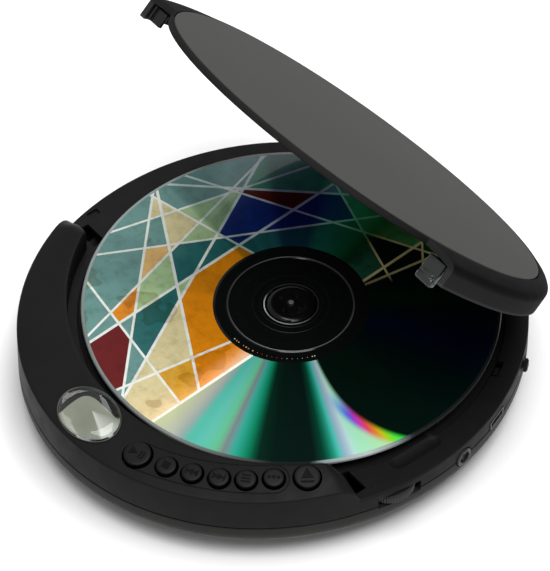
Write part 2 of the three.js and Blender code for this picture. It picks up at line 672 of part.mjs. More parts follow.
fixed('mechanism_chassis', mechanismChassis(), steel);
[[-54, -16.5], [-54, 13], [9.5, -17]].forEach(([x, y], i) =>
  fixed(`chassis_damper_${i + 1}`, post(3, 3.1, 9.1, x, y, 20), rubber));
fixed('spindle_motor', spindleMotor(), steel);
fixed('turntable', turntable(), darkPlastic);
fixed('compact_disc', compactDisc(), discFace);
fixed('guide_rod_front', guideRod(-1), steel);
fixed('guide_rod_back', guideRod(1), steel);
fixed('sled_motor', sledMotor(), steel);
fixed('lead_screw', leadScrew(), steel);
fixed('pickup_sled', pickupSled(), darkPlastic);
fixed('pickup_lens', pickupLens(), clearPlastic);

CELL_Y.forEach((y, i) => fixed(`battery_cell_${i + 1}`, cell(y, i ? 1 : -1), cellLabel));
fixed('battery_contact_left', batteryContact(-1), spring);
fixed('battery_contact_right', batteryContact(1), spring);
fixed('battery_cover', batteryCover(), caseBlack);
FEET.forEach(([x, y], i) => fixed(`foot_${i + 1}`, foot(x, y), rubber));
SCREWS.forEach(([x, y], i) => fixed(`case_screw_${i + 1}`, caseScrew(x, y), steel));
fixed('hinge_pin_left', hingePin(-1), steel);
fixed('hinge_pin_right', hingePin(1), steel);

place(lid, 'lid_shell', lidShell(), caseBlack);
place(lid, 'lid_plate', lidPlate(), plateGrey);
place(lid, 'lid_catch_left', lidTab(), darkPlastic);
place(lid, 'lid_catch_right', lidHook(), greyPlastic);
place(lid, 'disc_clamp', discClamp(), rubber);

export default player;
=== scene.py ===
"""Looks of the portable disc player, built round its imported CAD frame. Millimetres from the disc's axis until a
piece is finished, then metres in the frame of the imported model."""
import json
import math

import bmesh
import bpy
from mathutils import Matrix, Vector


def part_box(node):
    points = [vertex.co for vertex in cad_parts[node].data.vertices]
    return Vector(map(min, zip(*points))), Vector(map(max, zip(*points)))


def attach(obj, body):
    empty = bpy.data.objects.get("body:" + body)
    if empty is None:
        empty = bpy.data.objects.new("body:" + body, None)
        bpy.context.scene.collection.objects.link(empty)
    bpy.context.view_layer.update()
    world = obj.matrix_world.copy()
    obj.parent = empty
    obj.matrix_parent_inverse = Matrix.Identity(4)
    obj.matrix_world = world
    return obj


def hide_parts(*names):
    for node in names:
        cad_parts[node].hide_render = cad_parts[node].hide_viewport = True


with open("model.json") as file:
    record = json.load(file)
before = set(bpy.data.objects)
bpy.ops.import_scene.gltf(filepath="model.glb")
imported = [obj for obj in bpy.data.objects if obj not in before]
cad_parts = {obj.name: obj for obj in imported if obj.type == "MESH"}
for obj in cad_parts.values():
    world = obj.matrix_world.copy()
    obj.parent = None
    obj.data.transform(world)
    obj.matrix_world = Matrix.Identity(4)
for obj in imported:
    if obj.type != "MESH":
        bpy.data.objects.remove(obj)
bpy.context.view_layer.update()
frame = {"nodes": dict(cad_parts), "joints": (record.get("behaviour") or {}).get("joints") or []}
joints = {joint["name"]: joint for joint in frame["joints"]}

MM = 0.001
SIDES = 256  # facets round the case
FINE = 512  # facets round the crescent, whose ends curve over
TAU = 2 * math.pi

# ---- sizes taken from the frame
disc_low, disc_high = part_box("compact_disc")
case_low, case_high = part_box("bottom_case")
AXIS_Y = (disc_low.y + disc_high.y) / 2 / MM
DISC_TOP = disc_high.z / MM
DISC_R = (disc_high.x - disc_low.x) / 2 / MM
HALF_WIDTH = (case_high.x - case_low.x) / 2 / MM
HALF_DEPTH = (case_high.y - case_low.y) / 2 / MM
SEAM_LOW = case_high.z / MM
SEAM_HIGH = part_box("top_case")[0].z / MM
HINGE_Y = joints["lid_hinge"]["pos_m"][1] / MM - AXIS_Y
HINGE_Z = joints["lid_hinge"]["pos_m"][2] / MM
LID_OPEN = -math.radians(joints["lid_hinge"]["range_deg"][0])
LID_SWING = Matrix.Rotation(-LID_OPEN, 4, "X")  # turns what is drawn for the closed lid to the open one

# heights
FLOOR_Z = 0.8  # the lower shell's underside
LOWER_TURN = 6.9  # where the lower shell turns under
DECK_Z, DECK_UNDER = 17.7, 16.4
WELL_Z = 17.3  # the shallow well under the disc
CRESCENT_INNER_Z, CRESCENT_OUTER_Z = 26.5, 23.7
LID_RIM, LID_UNDER, LID_TOP = 18.0, 24.5, 26.4
# radii from the disc's axis
NOMINAL = 70.0  # outline radius that profiles are drawn for
WELL_R = 61.2
CRESCENT_R = 63.9
PLATE_R = 62.3
LID_FRONT_R = 63.4
# the case, the crescent's ends and the finish
WALL = 1.8
HINGE_R = 1.9
HORN_X, HORN_Y, HORN_SLOPE, HORN_BACK = 55.0, -31.2, 0.38, -29.0  # the line that ends the crescent
HORN_TIGHT, HORN_ROUND = 2.2, 6.0  # how far its end rounds over, beside the disc and outside
SKIRT_GAP = 0.7  # between that line and the skirt of the closed lid
THROUGH_DECK = (15, 19)  # heights of a cut that goes through the deck
ABOVE_ALL = 40  # a height over everything
GRAIN_HEIGHT = 0.02 * MM  # of moulded plastic, in metres
TO_X = Matrix(((0, 0, 1), (0, 1, 0), (-1, 0, 0))).to_4x4()  # lays a part drawn along Z along X

KEYS = ["play", "stop", "previous", "next", "program", "mode", "open"]


# ---- meshes in millimetres
def added(name, data):
    obj = bpy.data.objects.new(name, data)
    bpy.context.scene.collection.objects.link(obj)
    return obj


def new_object(verts, faces, name="part"):
    mesh = bpy.data.meshes.new(name)
    mesh.from_pydata([tuple(v) for v in verts], [], faces)
    shape = bmesh.new()
    shape.from_mesh(mesh)
    bmesh.ops.recalc_face_normals(shape, faces=shape.faces)
    shape.to_mesh(mesh)
    shape.free()
    return added(name, mesh)


def case_radius(angle):
    """Distance from the disc's axis to the case outline, an ellipse about a point in front of the axis."""
    c, s, e = math.cos(angle) / HALF_WIDTH, math.sin(angle) / HALF_DEPTH, -AXIS_Y / HALF_DEPTH
    a, b = c * c + s * s, s * e
    return (b + math.sqrt(b * b - a * (e * e - 1))) / a


# a profile point is (radius at the nominal outline, height, how far it follows the outline)
def ring(radius, z):
    return (radius, z, 0.0)


def edge(inset, z):
    return (NOMINAL - inset, z, 1.0)


def crescent_height(share):
    return CRESCENT_INNER_Z - (CRESCENT_INNER_Z - CRESCENT_OUTER_Z) * (0.55 * share + 0.45 * share * share)


def softened(points, cuts, steps=6):
    """The profile with its corners rounded: cuts gives a length for each corner's index."""
    out = []
    for i, corner in enumerate(points):
        if i not in cuts:
            out.append(corner)
            continue
        here = Vector(corner)
        legs = [Vector(points[i - 1]) - here, Vector(points[(i + 1) % len(points)]) - here]
        start, end = (here + leg * (cuts[i] / max(math.hypot(leg.x, leg.y), 1e-6)) for leg in legs)
        for k in range(steps + 1):
            t = k / steps
            out.append(tuple(start * (1 - t) ** 2 + here * 2 * t * (1 - t) + end * t * t))
    return out


def turned(profile, sides=SIDES):
    """A closed solid turned about the disc's axis. It closes on the axis or on itself."""
    verts, rings, faces = [], [], []
    for radius, z, follow in profile:
        if radius < 1e-6:
            rings.append([len(verts)])
            verts.append((0, 0, z))
            continue
        rings.append(range(len(verts), len(verts) + sides))
        for i in range(sides):
            angle = TAU * i / sides
            r = radius + (follow * (case_radius(angle) - NOMINAL) if follow else 0)
            verts.append((r * math.cos(angle), r * math.sin(angle), z))
    pairs = list(zip(rings, rings[1:]))
    if len(rings[0]) > 1:
        pairs.append((rings[-1], rings[0]))
    for low, high in pairs:
        for i in range(sides):
            j = (i + 1) % sides
            corners = [low[i % len(low)], low[j % len(low)], high[j % len(high)], high[i % len(high)]]
            faces.append(list(dict.fromkeys(corners)))
    return new_object(verts, faces)


def stacked(levels):
    """A closed solid through outlines of equal length, each a list of (x, y) at a height: [(z, outline)]."""
    count = len(levels[0][1])
    verts = [(x, y, z) for z, outline in levels for x, y in outline]
    faces = [list(range(count)), list(range(len(verts) - count, len(verts)))]
    for k in range(len(levels) - 1):
        for i in range(count):
            j = (i + 1) % count
            faces.append([k * count + i, k * count + j, (k + 1) * count + j, (k + 1) * count + i])
    return new_object(verts, faces)


def prism(outline, z0, z1):
    return stacked([(z0, outline), (z1, outline)])


def box(x0, x1, y0, y1, z0, z1):
    return prism([(x0, y0), (x1, y0), (x1, y1), (x0, y1)], z0, z1)


def circle(radius, sides=48, x=0.0, y=0.0, squash=1.0):
    return [(x + radius * math.cos(TAU * i / sides), y + squash * radius * math.sin(TAU * i / sides))
            for i in range(sides)]


def obround(x0, x1, radius, steps=12):
    """A slot outline along X with round ends centred on x0 and x1."""
    arc = [math.pi * k / steps - math.pi / 2 for k in range(steps + 1)]
    return ([(x1 + radius * math.cos(a), radius * math.sin(a)) for a in arc]
            + [(x0 - radius * math.cos(a), -radius * math.sin(a)) for a in arc])


def post(radius, z0, z1, x=0.0, y=0.0, sides=48):
    return prism(circle(radius, sides, x, y), z0, z1)


def moved(obj, matrix):
    obj.data.transform(matrix)
    return obj


def about_z(degrees):
    return Matrix.Rotation(math.radians(degrees), 4, "Z")


def bar_x(radius, x0, x1, y, z, sides=48):
    """A round bar along X."""
    bar = prism(circle(radius, sides), x0, x1)
    return moved(bar, Matrix.Translation((0, y, z)) @ TO_X)


def rounded(obj, width, segments=4):
    """Rounds every edge of a simple closed part."""
    shape = bmesh.new()
    shape.from_mesh(obj.data)
    bmesh.ops.bevel(shape, geom=shape.edges[:], offset=width, segments=segments, profile=0.5, affect="EDGES",
                    clamp_overlap=True)
    shape.to_mesh(obj.data)
    shape.free()
    return obj


def combined(base, others, operation):
    for other in others:
        step = base.modifiers.new("step", "BOOLEAN")
        step.operation, step.solver, step.object = operation, "EXACT", other
    bpy.context.view_layer.update()
    depsgraph = bpy.context.evaluated_depsgraph_get()
    mesh = bpy.data.meshes.new_from_object(base.evaluated_get(depsgraph))
    base.modifiers.clear()
    base.data = mesh
    for other in others:
        bpy.data.objects.remove(other)
    return base


def cut(base, *others):
    return combined(base, others, "DIFFERENCE")


def joined(base, *others):
    """One object of several closed parts that touch or overlap."""
    shape = bmesh.new()
    for obj in (base, *others):
        shape.from_mesh(obj.data)
    shape.to_mesh(base.data)
    shape.free()
    for other in others:
        bpy.data.objects.remove(other)
    return base


def finished(obj, name, material, body, replaces=(), lid=False, crease=30):
    """Turns a part into a piece of the model: in metres, in the frame, shaded and riding on its body."""
    if lid:
        hinge = Vector((0, HINGE_Y, HINGE_Z))
        obj.data.transform(Matrix.Translation(hinge) @ LID_SWING @ Matrix.Translation(-hinge))
    obj.data.transform(Matrix.Scale(MM, 4) @ Matrix.Translation((0, AXIS_Y, 0)))
    obj.name = obj.data.name = name
    obj.data.materials.clear()
    obj.data.materials.append(material)
    obj.data.shade_smooth()
    obj.data.set_sharp_from_angle(angle=math.radians(crease))
    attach(obj, body)
    if replaces:
        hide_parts(*replaces)
    return obj


# ---- places on the case
def outline_place(degrees, z):
    """Matrix for a part drawn with +X outward and its origin on the case's side."""
    angle = math.radians(degrees)
    x, y = case_radius(angle) * math.cos(angle), case_radius(angle) * math.sin(angle)
    turn = math.atan2((y + AXIS_Y) / HALF_DEPTH ** 2, x / HALF_WIDTH ** 2)
    return Matrix.Translation((x, y, z)) @ Matrix.Rotation(turn, 4, "Z")


def surface_height(x, y):
    width = case_radius(math.atan2(y, x)) - CRESCENT_R
    return crescent_height((math.hypot(x, y) - CRESCENT_R) / width)


def surface_normal(x, y, step=0.5):
    slope_x = (surface_height(x - step, y) - surface_height(x + step, y)) / (2 * step)
    slope_y = (surface_height(x, y - step) - surface_height(x, y + step)) / (2 * step)
    return Vector((slope_x, slope_y, 1)).normalized()


def crescent_place(x, y):
    """Matrix for a part drawn about Z, standing square on the crescent, with +Y towards the disc's axis."""
    normal = surface_normal(x, y)
    inward = Vector((-x, -y, 0))
    inward = (inward - normal * inward.dot(normal)).normalized()
    across = inward.cross(normal)
    turn = Matrix((across, inward, normal)).transposed().to_4x4()
    return Matrix.Translation((x, y, surface_height(x, y))) @ turn


def key_centre(name):
    """Where a key's axis meets the crescent."""
    low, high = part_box(f"{name}_button")
    axis = Vector(joints[f"{name}_press"]["axis"])
    middle = (low + high) / 2 / MM
    drop = 0.65  # the cap's middle lies this far under the surface
    return middle.x - axis.x * drop, middle.y - AXIS_Y - axis.y * drop


KEY_RADIUS = {name: 2.9 for name in KEYS} | {"play": 3.95, "open": 3.65}
KEY_GAP = 0.52
WINDOW_Y = -72.2
WINDOW_X, WINDOW_SQUASH = 10.4, 0.75


def front_wedge(levels):
    """The plan in front of the two horn lines, at heights with their own insets: [(z, inset)]."""
    far = 90.0
    knee = HORN_X + (HORN_BACK - HORN_Y) / HORN_SLOPE
    outlines = []
    for z, inset in levels:
        right = [(far, -far), (far, HORN_BACK - inset), (knee, HORN_BACK - inset), (HORN_X, HORN_Y - inset)]
        outlines.append((z, right + [(-x, y) for x, y in right[::-1]]))
    return stacked(outlines)


def round_ends(crescent):
    """Curls the crescent's top down towards the lines that end it."""
    lean = math.hypot(1, HORN_SLOPE)
    for vertex in crescent.data.vertices:
        if vertex.co.z < DECK_Z + 1:
            continue
        line = min(HORN_Y + HORN_SLOPE * max(abs(vertex.co.x) - HORN_X, 0), HORN_BACK)
        inside = max(line - vertex.co.y, 0) / lean
        curl = HORN_TIGHT + (HORN_ROUND - HORN_TIGHT) * min(max((abs(vertex.co.x) - 56) / 7, 0), 1)
        if inside < curl:
            vertex.co.z -= curl - math.sqrt(curl ** 2 - (curl - inside) ** 2)
    return crescent


# ---- materials
def rgba(color):
    """A node's colour, from one grey value or from its channels."""
    channels = (color,) * 3 if isinstance(color, (int, float)) else tuple(color)
    return channels if len(channels) == 4 else (*channels, 1)


class Nodes:
    """A small helper to wire a material's nodes."""

    def __init__(self, name):
        self.material = bpy.data.materials.new(name)
        self.material.use_nodes = True
        self.tree = self.material.node_tree
        self.shader = self.tree.nodes["Principled BSDF"]

    def add(self, kind, inputs, **settings):
        node = self.tree.nodes.new(kind)
        for key, value in settings.items():
            setattr(node, key, value)
        self.feed(node, inputs)
        return node

    def feed(self, node, inputs):
        """Sets a node's inputs, or links them to other nodes' outputs."""
        for key, value in inputs.items():
            target = node.inputs[key]
            if isinstance(value, bpy.types.NodeSocket):
                self.tree.links.new(value, target)
            else:
                target.default_value = rgba(value) if target.type == "RGBA" else value

    def set(self, **values):
        """The same for the shader's inputs."""
        self.feed(self.shader, {key.replace("_", " "): value for key, value in values.items()})

    def position(self):
        return self.add("ShaderNodeTexCoord", {}).outputs["Object"]

    def facing(self):
        """The surface's direction in the piece's own frame, so that it doesn't change with the pose."""
        return self.add("ShaderNodeTexCoord", {}).outputs["Normal"]

    def part(self, vector, axis):
        return self.add("ShaderNodeSeparateXYZ", {0: vector}).outputs[axis]

    def along(self, vector, direction):
        """How far a vector reaches in a direction."""
        return self.add("ShaderNodeVectorMath", {0: vector, 1: direction}, operation="DOT_PRODUCT").outputs["Value"]

    def noise(self, scale, detail=3.0, roughness=0.5):
        inputs = {"Vector": self.position(), "Scale": scale, "Detail": detail, "Roughness": roughness}
        return self.add("ShaderNodeTexNoise", inputs).outputs["Fac"]

    def ramp(self, value, stops, mode="LINEAR"):
        node = self.add("ShaderNodeValToRGB", {"Fac": value})
        node.color_ramp.interpolation = mode
        elements = node.color_ramp.elements
        while len(elements) < len(stops):
            elements.new(0.5)
        for element, (at, color) in zip(elements, stops):
            element.position = at
            element.color = rgba(color)
        return node.outputs["Color"]

    def math(self, operation, a, b=0.0):
        return self.add("ShaderNodeMath", {0: a, 1: b}, operation=operation).outputs[0]

    def mix(self, factor, a, b, blend="MIX"):
        inputs = {0: factor, 6: a, 7: b}
        return self.add("ShaderNodeMix", inputs, data_type="RGBA", blend_type=blend).outputs[2]

    def smooth_step(self, value, low, high):
        inputs = {"Value": value, "From Min": low, "From Max": high}
        return self.add("ShaderNodeMapRange", inputs, clamp=True, interpolation_type="SMOOTHSTEP").outputs["Result"]

    def surface(self, edge_radius=0.0, grain=0.0, grain_scale=3000.0):
        """Rounded edges and a fine moulded grain on the shader's normal."""
        normal = {}
        if edge_radius:
            bevel = self.add("ShaderNodeBevel", {"Radius": edge_radius * MM}, samples=6)
            normal = {"Normal": bevel.outputs["Normal"]}
        if grain:
            inputs = {"Strength": grain, "Distance": GRAIN_HEIGHT, "Height": self.noise(grain_scale, 2.0)}
            normal = {"Normal": self.add("ShaderNodeBump", inputs | normal).outputs["Normal"]}
        self.feed(self.shader, normal)

    def moulded(self, painted_light_band, roughness, specular, edge_radius=0.25):
        """Plastic whose colour follows a band of painted light and shade, and drifts a little, with a fine grain.
        """
        drift = self.mix(self.noise(60.0, 4.0), painted_light_band, self.mix(1.0, painted_light_band, 0.8, "MULTIPLY"))
        rough = self.ramp(self.noise(220.0), [(0.3, roughness - 0.05), (0.7, roughness + 0.05)])
        self.set(Base_Color=drift, Roughness=rough, Specular_IOR_Level=specular)
        self.surface(edge_radius, 0.25)
        return self.material


def plastic(name, dark, light, roughness, spread=0.06, edge_radius=0.25, grain=0.25, specular=0.35, coat=0.0):
    """Moulded plastic: a base colour that drifts between two shades, with a fine grain and rounded edges."""
    n = Nodes(name)
    rough = n.ramp(n.noise(220.0), [(0.3, roughness - spread), (0.7, roughness + spread)])
    n.set(Base_Color=n.mix(n.noise(60.0, 4.0, 0.6), dark, light), Roughness=rough, Specular_IOR_Level=specular,
          Coat_Weight=coat, Coat_Roughness=0.15)
    n.surface(edge_radius, grain)
    return n.material


def metal(name, color, roughness, edge_radius=0.15, scratch=0.2):
    """Drawn or turned metal with fine streaks."""
    n = Nodes(name)
    streaks = n.noise(1500.0, 2.0)
    rough = n.ramp(streaks, [(0.2, roughness * 0.7), (0.8, roughness * 1.3)])
    n.set(Base_Color=n.mix(streaks, tuple(0.8 * c for c in color), color), Roughness=rough, Metallic=1.0)
    n.surface(edge_radius, scratch)
    return n.material


case_black = plastic("case_black", (0.0062, 0.0062, 0.0061), (0.0086, 0.0086, 0.0084), 0.5, specular=0.08)
knob_black = plastic("knob_black", 0.003, 0.005, 0.45, edge_radius=0.12, specular=0.12)
mark_black = plastic("mark_black", 0.0034, 0.0044, 0.6, edge_radius=0.05, grain=0, specular=0.06)
wheel_black = plastic("wheel_black", 0.012, 0.020, 0.4, edge_radius=0.06, specular=0.3)
plain_black = plastic("plain_black", 0.005, 0.008, 0.5, grain=0.15, specular=0.15)
hub_black = plastic("hub_black", 0.003, 0.005, 0.25, grain=0.05, coat=0.2, specular=0.2)
catch_grey = plastic("catch_grey", (0.012, 0.013, 0.013), (0.030, 0.033, 0.032), 0.2, coat=0.25, specular=0.3)
catch_dark = plastic("catch_dark", 0.006, 0.010, 0.25, edge_radius=0.12, coat=0.3)
rubber_black = plastic("rubber_black", 0.012, 0.020, 0.85, specular=0.2)
board_green = plastic("board_green", (0.010, 0.070, 0.028), (0.016, 0.110, 0.045), 0.4, specular=0.5)
cell_blue = plastic("cell_blue", (0.012, 0.035, 0.110), (0.020, 0.050, 0.150), 0.35, coat=0.5)
steel = metal("bright_steel", (0.62, 0.63, 0.64), 0.28)
socket_metal = metal("socket_metal", (0.30, 0.30, 0.31), 0.25)
socket_black = plastic("socket_black", 0.018, 0.028, 0.3, edge_radius=0.1)
ring_grey = plastic("ring_grey", (0.06, 0.065, 0.065), (0.12, 0.125, 0.125), 0.3, edge_radius=0, grain=0)
pin_grey = plastic("pin_grey", (0.13, 0.135, 0.13), (0.20, 0.205, 0.20), 0.35, edge_radius=0.1, grain=0.1)


def lower_case_painted_light_material():
    """The case's plastic on the lower shell, with painted light: paler than the upper case as painted floor bounce,
    and a thin painted highlight where it turns under.
    """
    n = Nodes("case_lower_black")
    span = 10  # millimetres that the band covers, about the turn
    rise = n.math("SUBTRACT", n.math("DIVIDE", n.part(n.position(), "Z"), span * MM), LOWER_TURN / span - 0.5)
    # painted highlight: a thin bright line just above the turn; painted floor bounce: a paler tone up the wall
    painted_light_band = n.ramp(rise, [(0.38, 0.010), (0.50, (0.08, 0.078, 0.071)), (0.565, (0.12, 0.118, 0.108)),
                         (0.595, (0.024, 0.0235, 0.022)), (0.9, (0.020, 0.0198, 0.0188))])
    return n.moulded(painted_light_band, 0.5, 0.12)


def lid_painted_light_material():
    """The lid frame's plastic with painted light and shade: darker on its shoulder, paler down the skirt, a painted
    highlight on the skirt's lip, and lighter on faces turned to the front.
    """
    n = Nodes("lid_black_painted_light")
    up = LID_SWING @ Vector((0, 0, 1))
    hinge = Vector((0, HINGE_Y + AXIS_Y, HINGE_Z))
    height = n.math("ADD", n.math("MULTIPLY", n.along(n.position(), up), 1 / MM), HINGE_Z - hinge.dot(up))
    start, span = 17.0, 10.0  # heights that the band covers when the lid is closed
    # painted light and shade by height, with a painted highlight at the lip
    painted_light_band = n.ramp(n.math("DIVIDE", n.math("SUBTRACT", height, start), span), [
        (0.09, 0.030), (0.14, 0.042), (0.20, 0.0215), (0.55, 0.0200),
        (0.66, 0.0090), (0.76, 0.0052), (0.94, 0.0085),
    ])
    # painted light: faces turned to the front are lighter
    front = n.ramp(n.along(n.facing(), LID_SWING @ Vector((0, -1, 0))), [(0.40, 0), (0.75, 0.011)])
    return n.moulded(n.mix(1.0, painted_light_band, front, "ADD"), 0.6, 0.004)


def key_painted_shade_material():
    """The keys' plastic, with painted shade down their sides."""
    n = Nodes("key_black_painted_shade")
    # painted shade: darker where the surface turns away from upright
    upright_painted_shade = n.ramp(n.part(n.facing(), "Z"), [(0.45, 0.0012), (0.86, 0.0060), (0.96, 0.0078)])
    return n.moulded(upright_painted_shade, 0.45, 0.10, 0.1)


def plate_material():
    """Satin paint on the lid's top plate, with faint painted glints as pale flecks, and slow cloudiness."""
    n = Nodes("plate_paint")
    cloud = n.noise(18.0, 5.0, 0.55)
    painted_glint_fleck = n.noise(5200.0, 1.0)
    base = n.mix(cloud, (0.031, 0.0315, 0.0300), (0.038, 0.0385, 0.0368))
    # painted glints: pale flecks mixed into the base colour
    n.set(Base_Color=n.mix(n.math("MULTIPLY", painted_glint_fleck, 0.25), base, (0.13, 0.13, 0.125)), Roughness=0.6,
          Specular_IOR_Level=0.02)
    n.surface(0.25, 0.15, 4200.0)
    return n.material


def glass_material():
    """Clear acrylic, not perfectly polished."""
    n = Nodes("clear_window")
    n.set(Base_Color=(0.93, 0.95, 0.93), Roughness=n.ramp(n.noise(300.0), [(0.4, 0.02), (0.8, 0.06)]),
          IOR=1.49, Transmission_Weight=1.0)
    return n.material


def lcd_material():
    """Grey-green liquid crystal cell with a pale painted reflection in a wedge."""
    n = Nodes("lcd_cell")
    x, y = window_coordinates(n)
    # painted reflection: a pale wedge by angle round a point on the cell
    swirl = n.math("ARCTAN2", n.math("SUBTRACT", y, 1.6), n.math("ADD", x, 1.0))
    painted_reflection_wedge = n.ramp(n.math("ADD", n.math("DIVIDE", swirl, TAU), 0.5),
                   [(0.432, 0), (0.445, 0.9), (0.50, 0.55), (0.58, 0)])
    mottled = n.mix(n.noise(400.0), (0.25, 0.26, 0.205), (0.32, 0.33, 0.265))
    n.set(Base_Color=n.mix(painted_reflection_wedge, mottled, (0.85, 0.86, 0.82)), Roughness=0.35)
    return n.material


def window_coordinates(n):
    """Millimetres across the window: +X right, +Y towards the disc's axis."""
    place = crescent_place(0, WINDOW_Y)
    centre = Vector(place.translation) + Vector((0, AXIS_Y, 0))
    return [n.math("SUBTRACT", n.math("MULTIPLY", n.along(n.position(), axis), 1 / MM), centre.dot(axis))
            for axis in (place.col[0].xyz, place.col[1].xyz)]


def code_glint_material():
    """Specks of the disc's code ring, painted in bright glint colours, each its own."""
    n = Nodes("code_specks")
    # painted glints: each speck takes one bright colour
    hues = n.ramp(n.noise(700.0, 0.0), [(0.0, (0.02, 0.55, 0.45)), (0.42, (0.75, 0.70, 0.20)),
                                        (0.50, (0.80, 0.10, 0.02)), (0.58, (0.55, 0.75, 0.60))], "CONSTANT")
    n.set(Base_Color=hues, Roughness=0.3)
    return n.material


disc_clear = plastic("disc_clear", (0.0035, 0.0040, 0.0040), (0.0050, 0.0056, 0.0056), 0.1, 0.03, edge_radius=0,
                     grain=0, specular=0.25, coat=0.25)
plate_grey = plate_material()
code_painted_glints = code_glint_material()
lower_black_painted_light = lower_case_painted_light_material()
key_black_painted_shade = key_painted_shade_material()
lid_black_painted_light = lid_painted_light_material()
clear_window = glass_material()
lcd_cell = lcd_material()


# ---- camera, floor and light
def put_camera():
    azimuth, elevation = math.radians(51.42), math.radians(47.79)
    back = Vector((math.sin(azimuth) * math.cos(elevation), -math.cos(azimuth) * math.cos(elevation),
                   math.sin(elevation)))
    right = Vector((math.cos(azimuth), math.sin(azimuth), 0))
    up = back.cross(right)
    target = Vector((0, AXIS_Y, DISC_TOP))  # the middle of the disc's face
    camera = added("camera", bpy.data.cameras.new("camera"))
    camera.data.lens, camera.data.sensor_width = 332.8, 36.0
    camera.data.clip_start, camera.data.clip_end = 0.1, 20.0
    camera.location = (target + back * 1505.5 - right * 4.63 + up * 5.28) * MM
    camera.rotation_mode = "QUATERNION"
    camera.rotation_quaternion = back.to_track_quat("Z", "Y")
    bpy.context.scene.camera = camera


def put_floor():
    half = 4.0
    floor = new_object([(-half, -half, 0), (half, -half, 0), (half, half, 0), (-half, half, 0)], [[0, 1, 2, 3]],
                       "floor")
    n = Nodes("floor_paper")
    n.set(Base_Color=n.mix(n.noise(3.0), 0.90, 0.92), Roughness=0.9, Specular_IOR_Level=0.1)
    floor.data.materials.append(n.material)


def put_light(name, place, size, watts):
    light = added(name, bpy.data.lights.new(name, "AREA"))
    light.data.size, light.data.energy = size, watts
    light.location = place
    light.rotation_mode = "QUATERNION"
    light.rotation_quaternion = (Vector(place) - Vector((0, 0, 0.03))).to_track_quat("Z", "Y")


def put_world():
    world = bpy.context.scene.world = bpy.data.worlds.new("studio")
    world.use_nodes = True
    background = world.node_tree.nodes["Background"].inputs
    background["Color"].default_value, background["Strength"].default_value = rgba(1), 0.42
    bpy.context.scene.view_settings.view_transform = "Standard"


put_camera()
put_floor()
put_world()
put_light("softbox_top", (0.28, -0.04, 1.4), 1.1, 22.0)
put_light("softbox_back", (-0.50, 0.80, 0.95), 0.7, 5.5)


# ---- case
WHEEL_PLACE = outline_place(-13.5, 13.5)
JACK_PLACE = outline_place(5.7, 12.5)
POWER_PLACE = outline_place(19.3, 13.7)
HOLD_PLACE = outline_place(38.0, 14.6)


def side_openings():
    return [
        moved(box(-12, 3, -7, 7, -2, 2), WHEEL_PLACE),
        moved(prism(circle(3.2), -4, 3), JACK_PLACE @ TO_X),
        moved(box(-4, 3, -4.1, 4.1, -1.7, 1.7), POWER_PLACE),
        moved(box(-4, 3, -2.6, 2.6, -0.9, 0.9), HOLD_PLACE),
    ]


def make_bottom_case():
    profile = [
        ring(0, FLOOR_Z), edge(10.6, FLOOR_Z), edge(9.6, 1.1), edge(0.9, LOWER_TURN), edge(0, 9.2),
        edge(0, SEAM_LOW), edge(WALL, SEAM_LOW), edge(WALL, 9.6), edge(2.4, 7.8), edge(10.2, 2.8), ring(0, 2.8),
    ]
    shell = turned(softened(profile, {2: 0.8, 3: 0.7, 4: 0.9, 5: 0.35}))
    cover_low, cover_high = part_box("battery_cover")
    x = cover_high.x / MM + 0.3
    y0, y1 = cover_low.y / MM - AXIS_Y, cover_high.y / MM - AXIS_Y
    slots = [box(-x, x, y0 - 4.3, y1 + 0.3, 0, 1.9)]
    for k in range(1, 5):
        low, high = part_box(f"foot_{k}")
        slots.append(post(4.8, 0, 1.5, (low.x + high.x) / 2 / MM, (low.y + high.y) / 2 / MM - AXIS_Y))
        low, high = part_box(f"case_screw_{k}")
        middle = (low + high) / 2 / MM
        slots.append(post(3.1, 0, 2.2, middle.x, middle.y - AXIS_Y))
    cut(shell, *slots, *side_openings())
    finished(shell, "case_lower", lower_black_painted_light, "case", ["bottom_case"])


def crescent_profile(inset, z0, soft):
    """The crescent's section. Inside the walls it is inset, and its top corners are rounded where soft."""
    inner = CRESCENT_R + inset
    top = [(inner + share * (NOMINAL - inset - inner), crescent_height(share) - inset, share)
           for share in (0, 0.1, 0.25, 0.4, 0.55, 0.7, 0.82, 0.92, 1)]
    points = [ring(inner, z0), *top, edge(inset, z0)]
    return softened(points, {1: 0.45, len(top): 0.45, len(top) + 1: 0.35}) if soft else points


def key_groove():
    """A thin channel round the first six keys."""
    half = KEY_RADIUS["play"] + 0.35
    centres = [Vector(key_centre(name)) for name in KEYS[:6]]
    polar = [(c.length, math.atan2(c.y, c.x)) for c in centres]
    outer, inner = [], []
    steps = 60

    def round_end(centre, begin, share=16):
        arc = [begin + math.pi * k / share for k in range(1, share)]
        return [centre + Vector((math.cos(a), math.sin(a))) * half for a in arc]

    for k in range(steps + 1):
        angle = polar[0][1] + (polar[-1][1] - polar[0][1]) * k / steps
        radius = polar[0][0] + (polar[-1][0] - polar[0][0]) * k / steps
        way = Vector((math.cos(angle), math.sin(angle)))
        outer.append(way * (radius + half))
        inner.append(way * (radius - half))
    return channel(outer + round_end(centres[-1], polar[-1][1]) + inner[::-1]
                   + round_end(centres[0], polar[0][1] + math.pi), 0.16, 0.22)


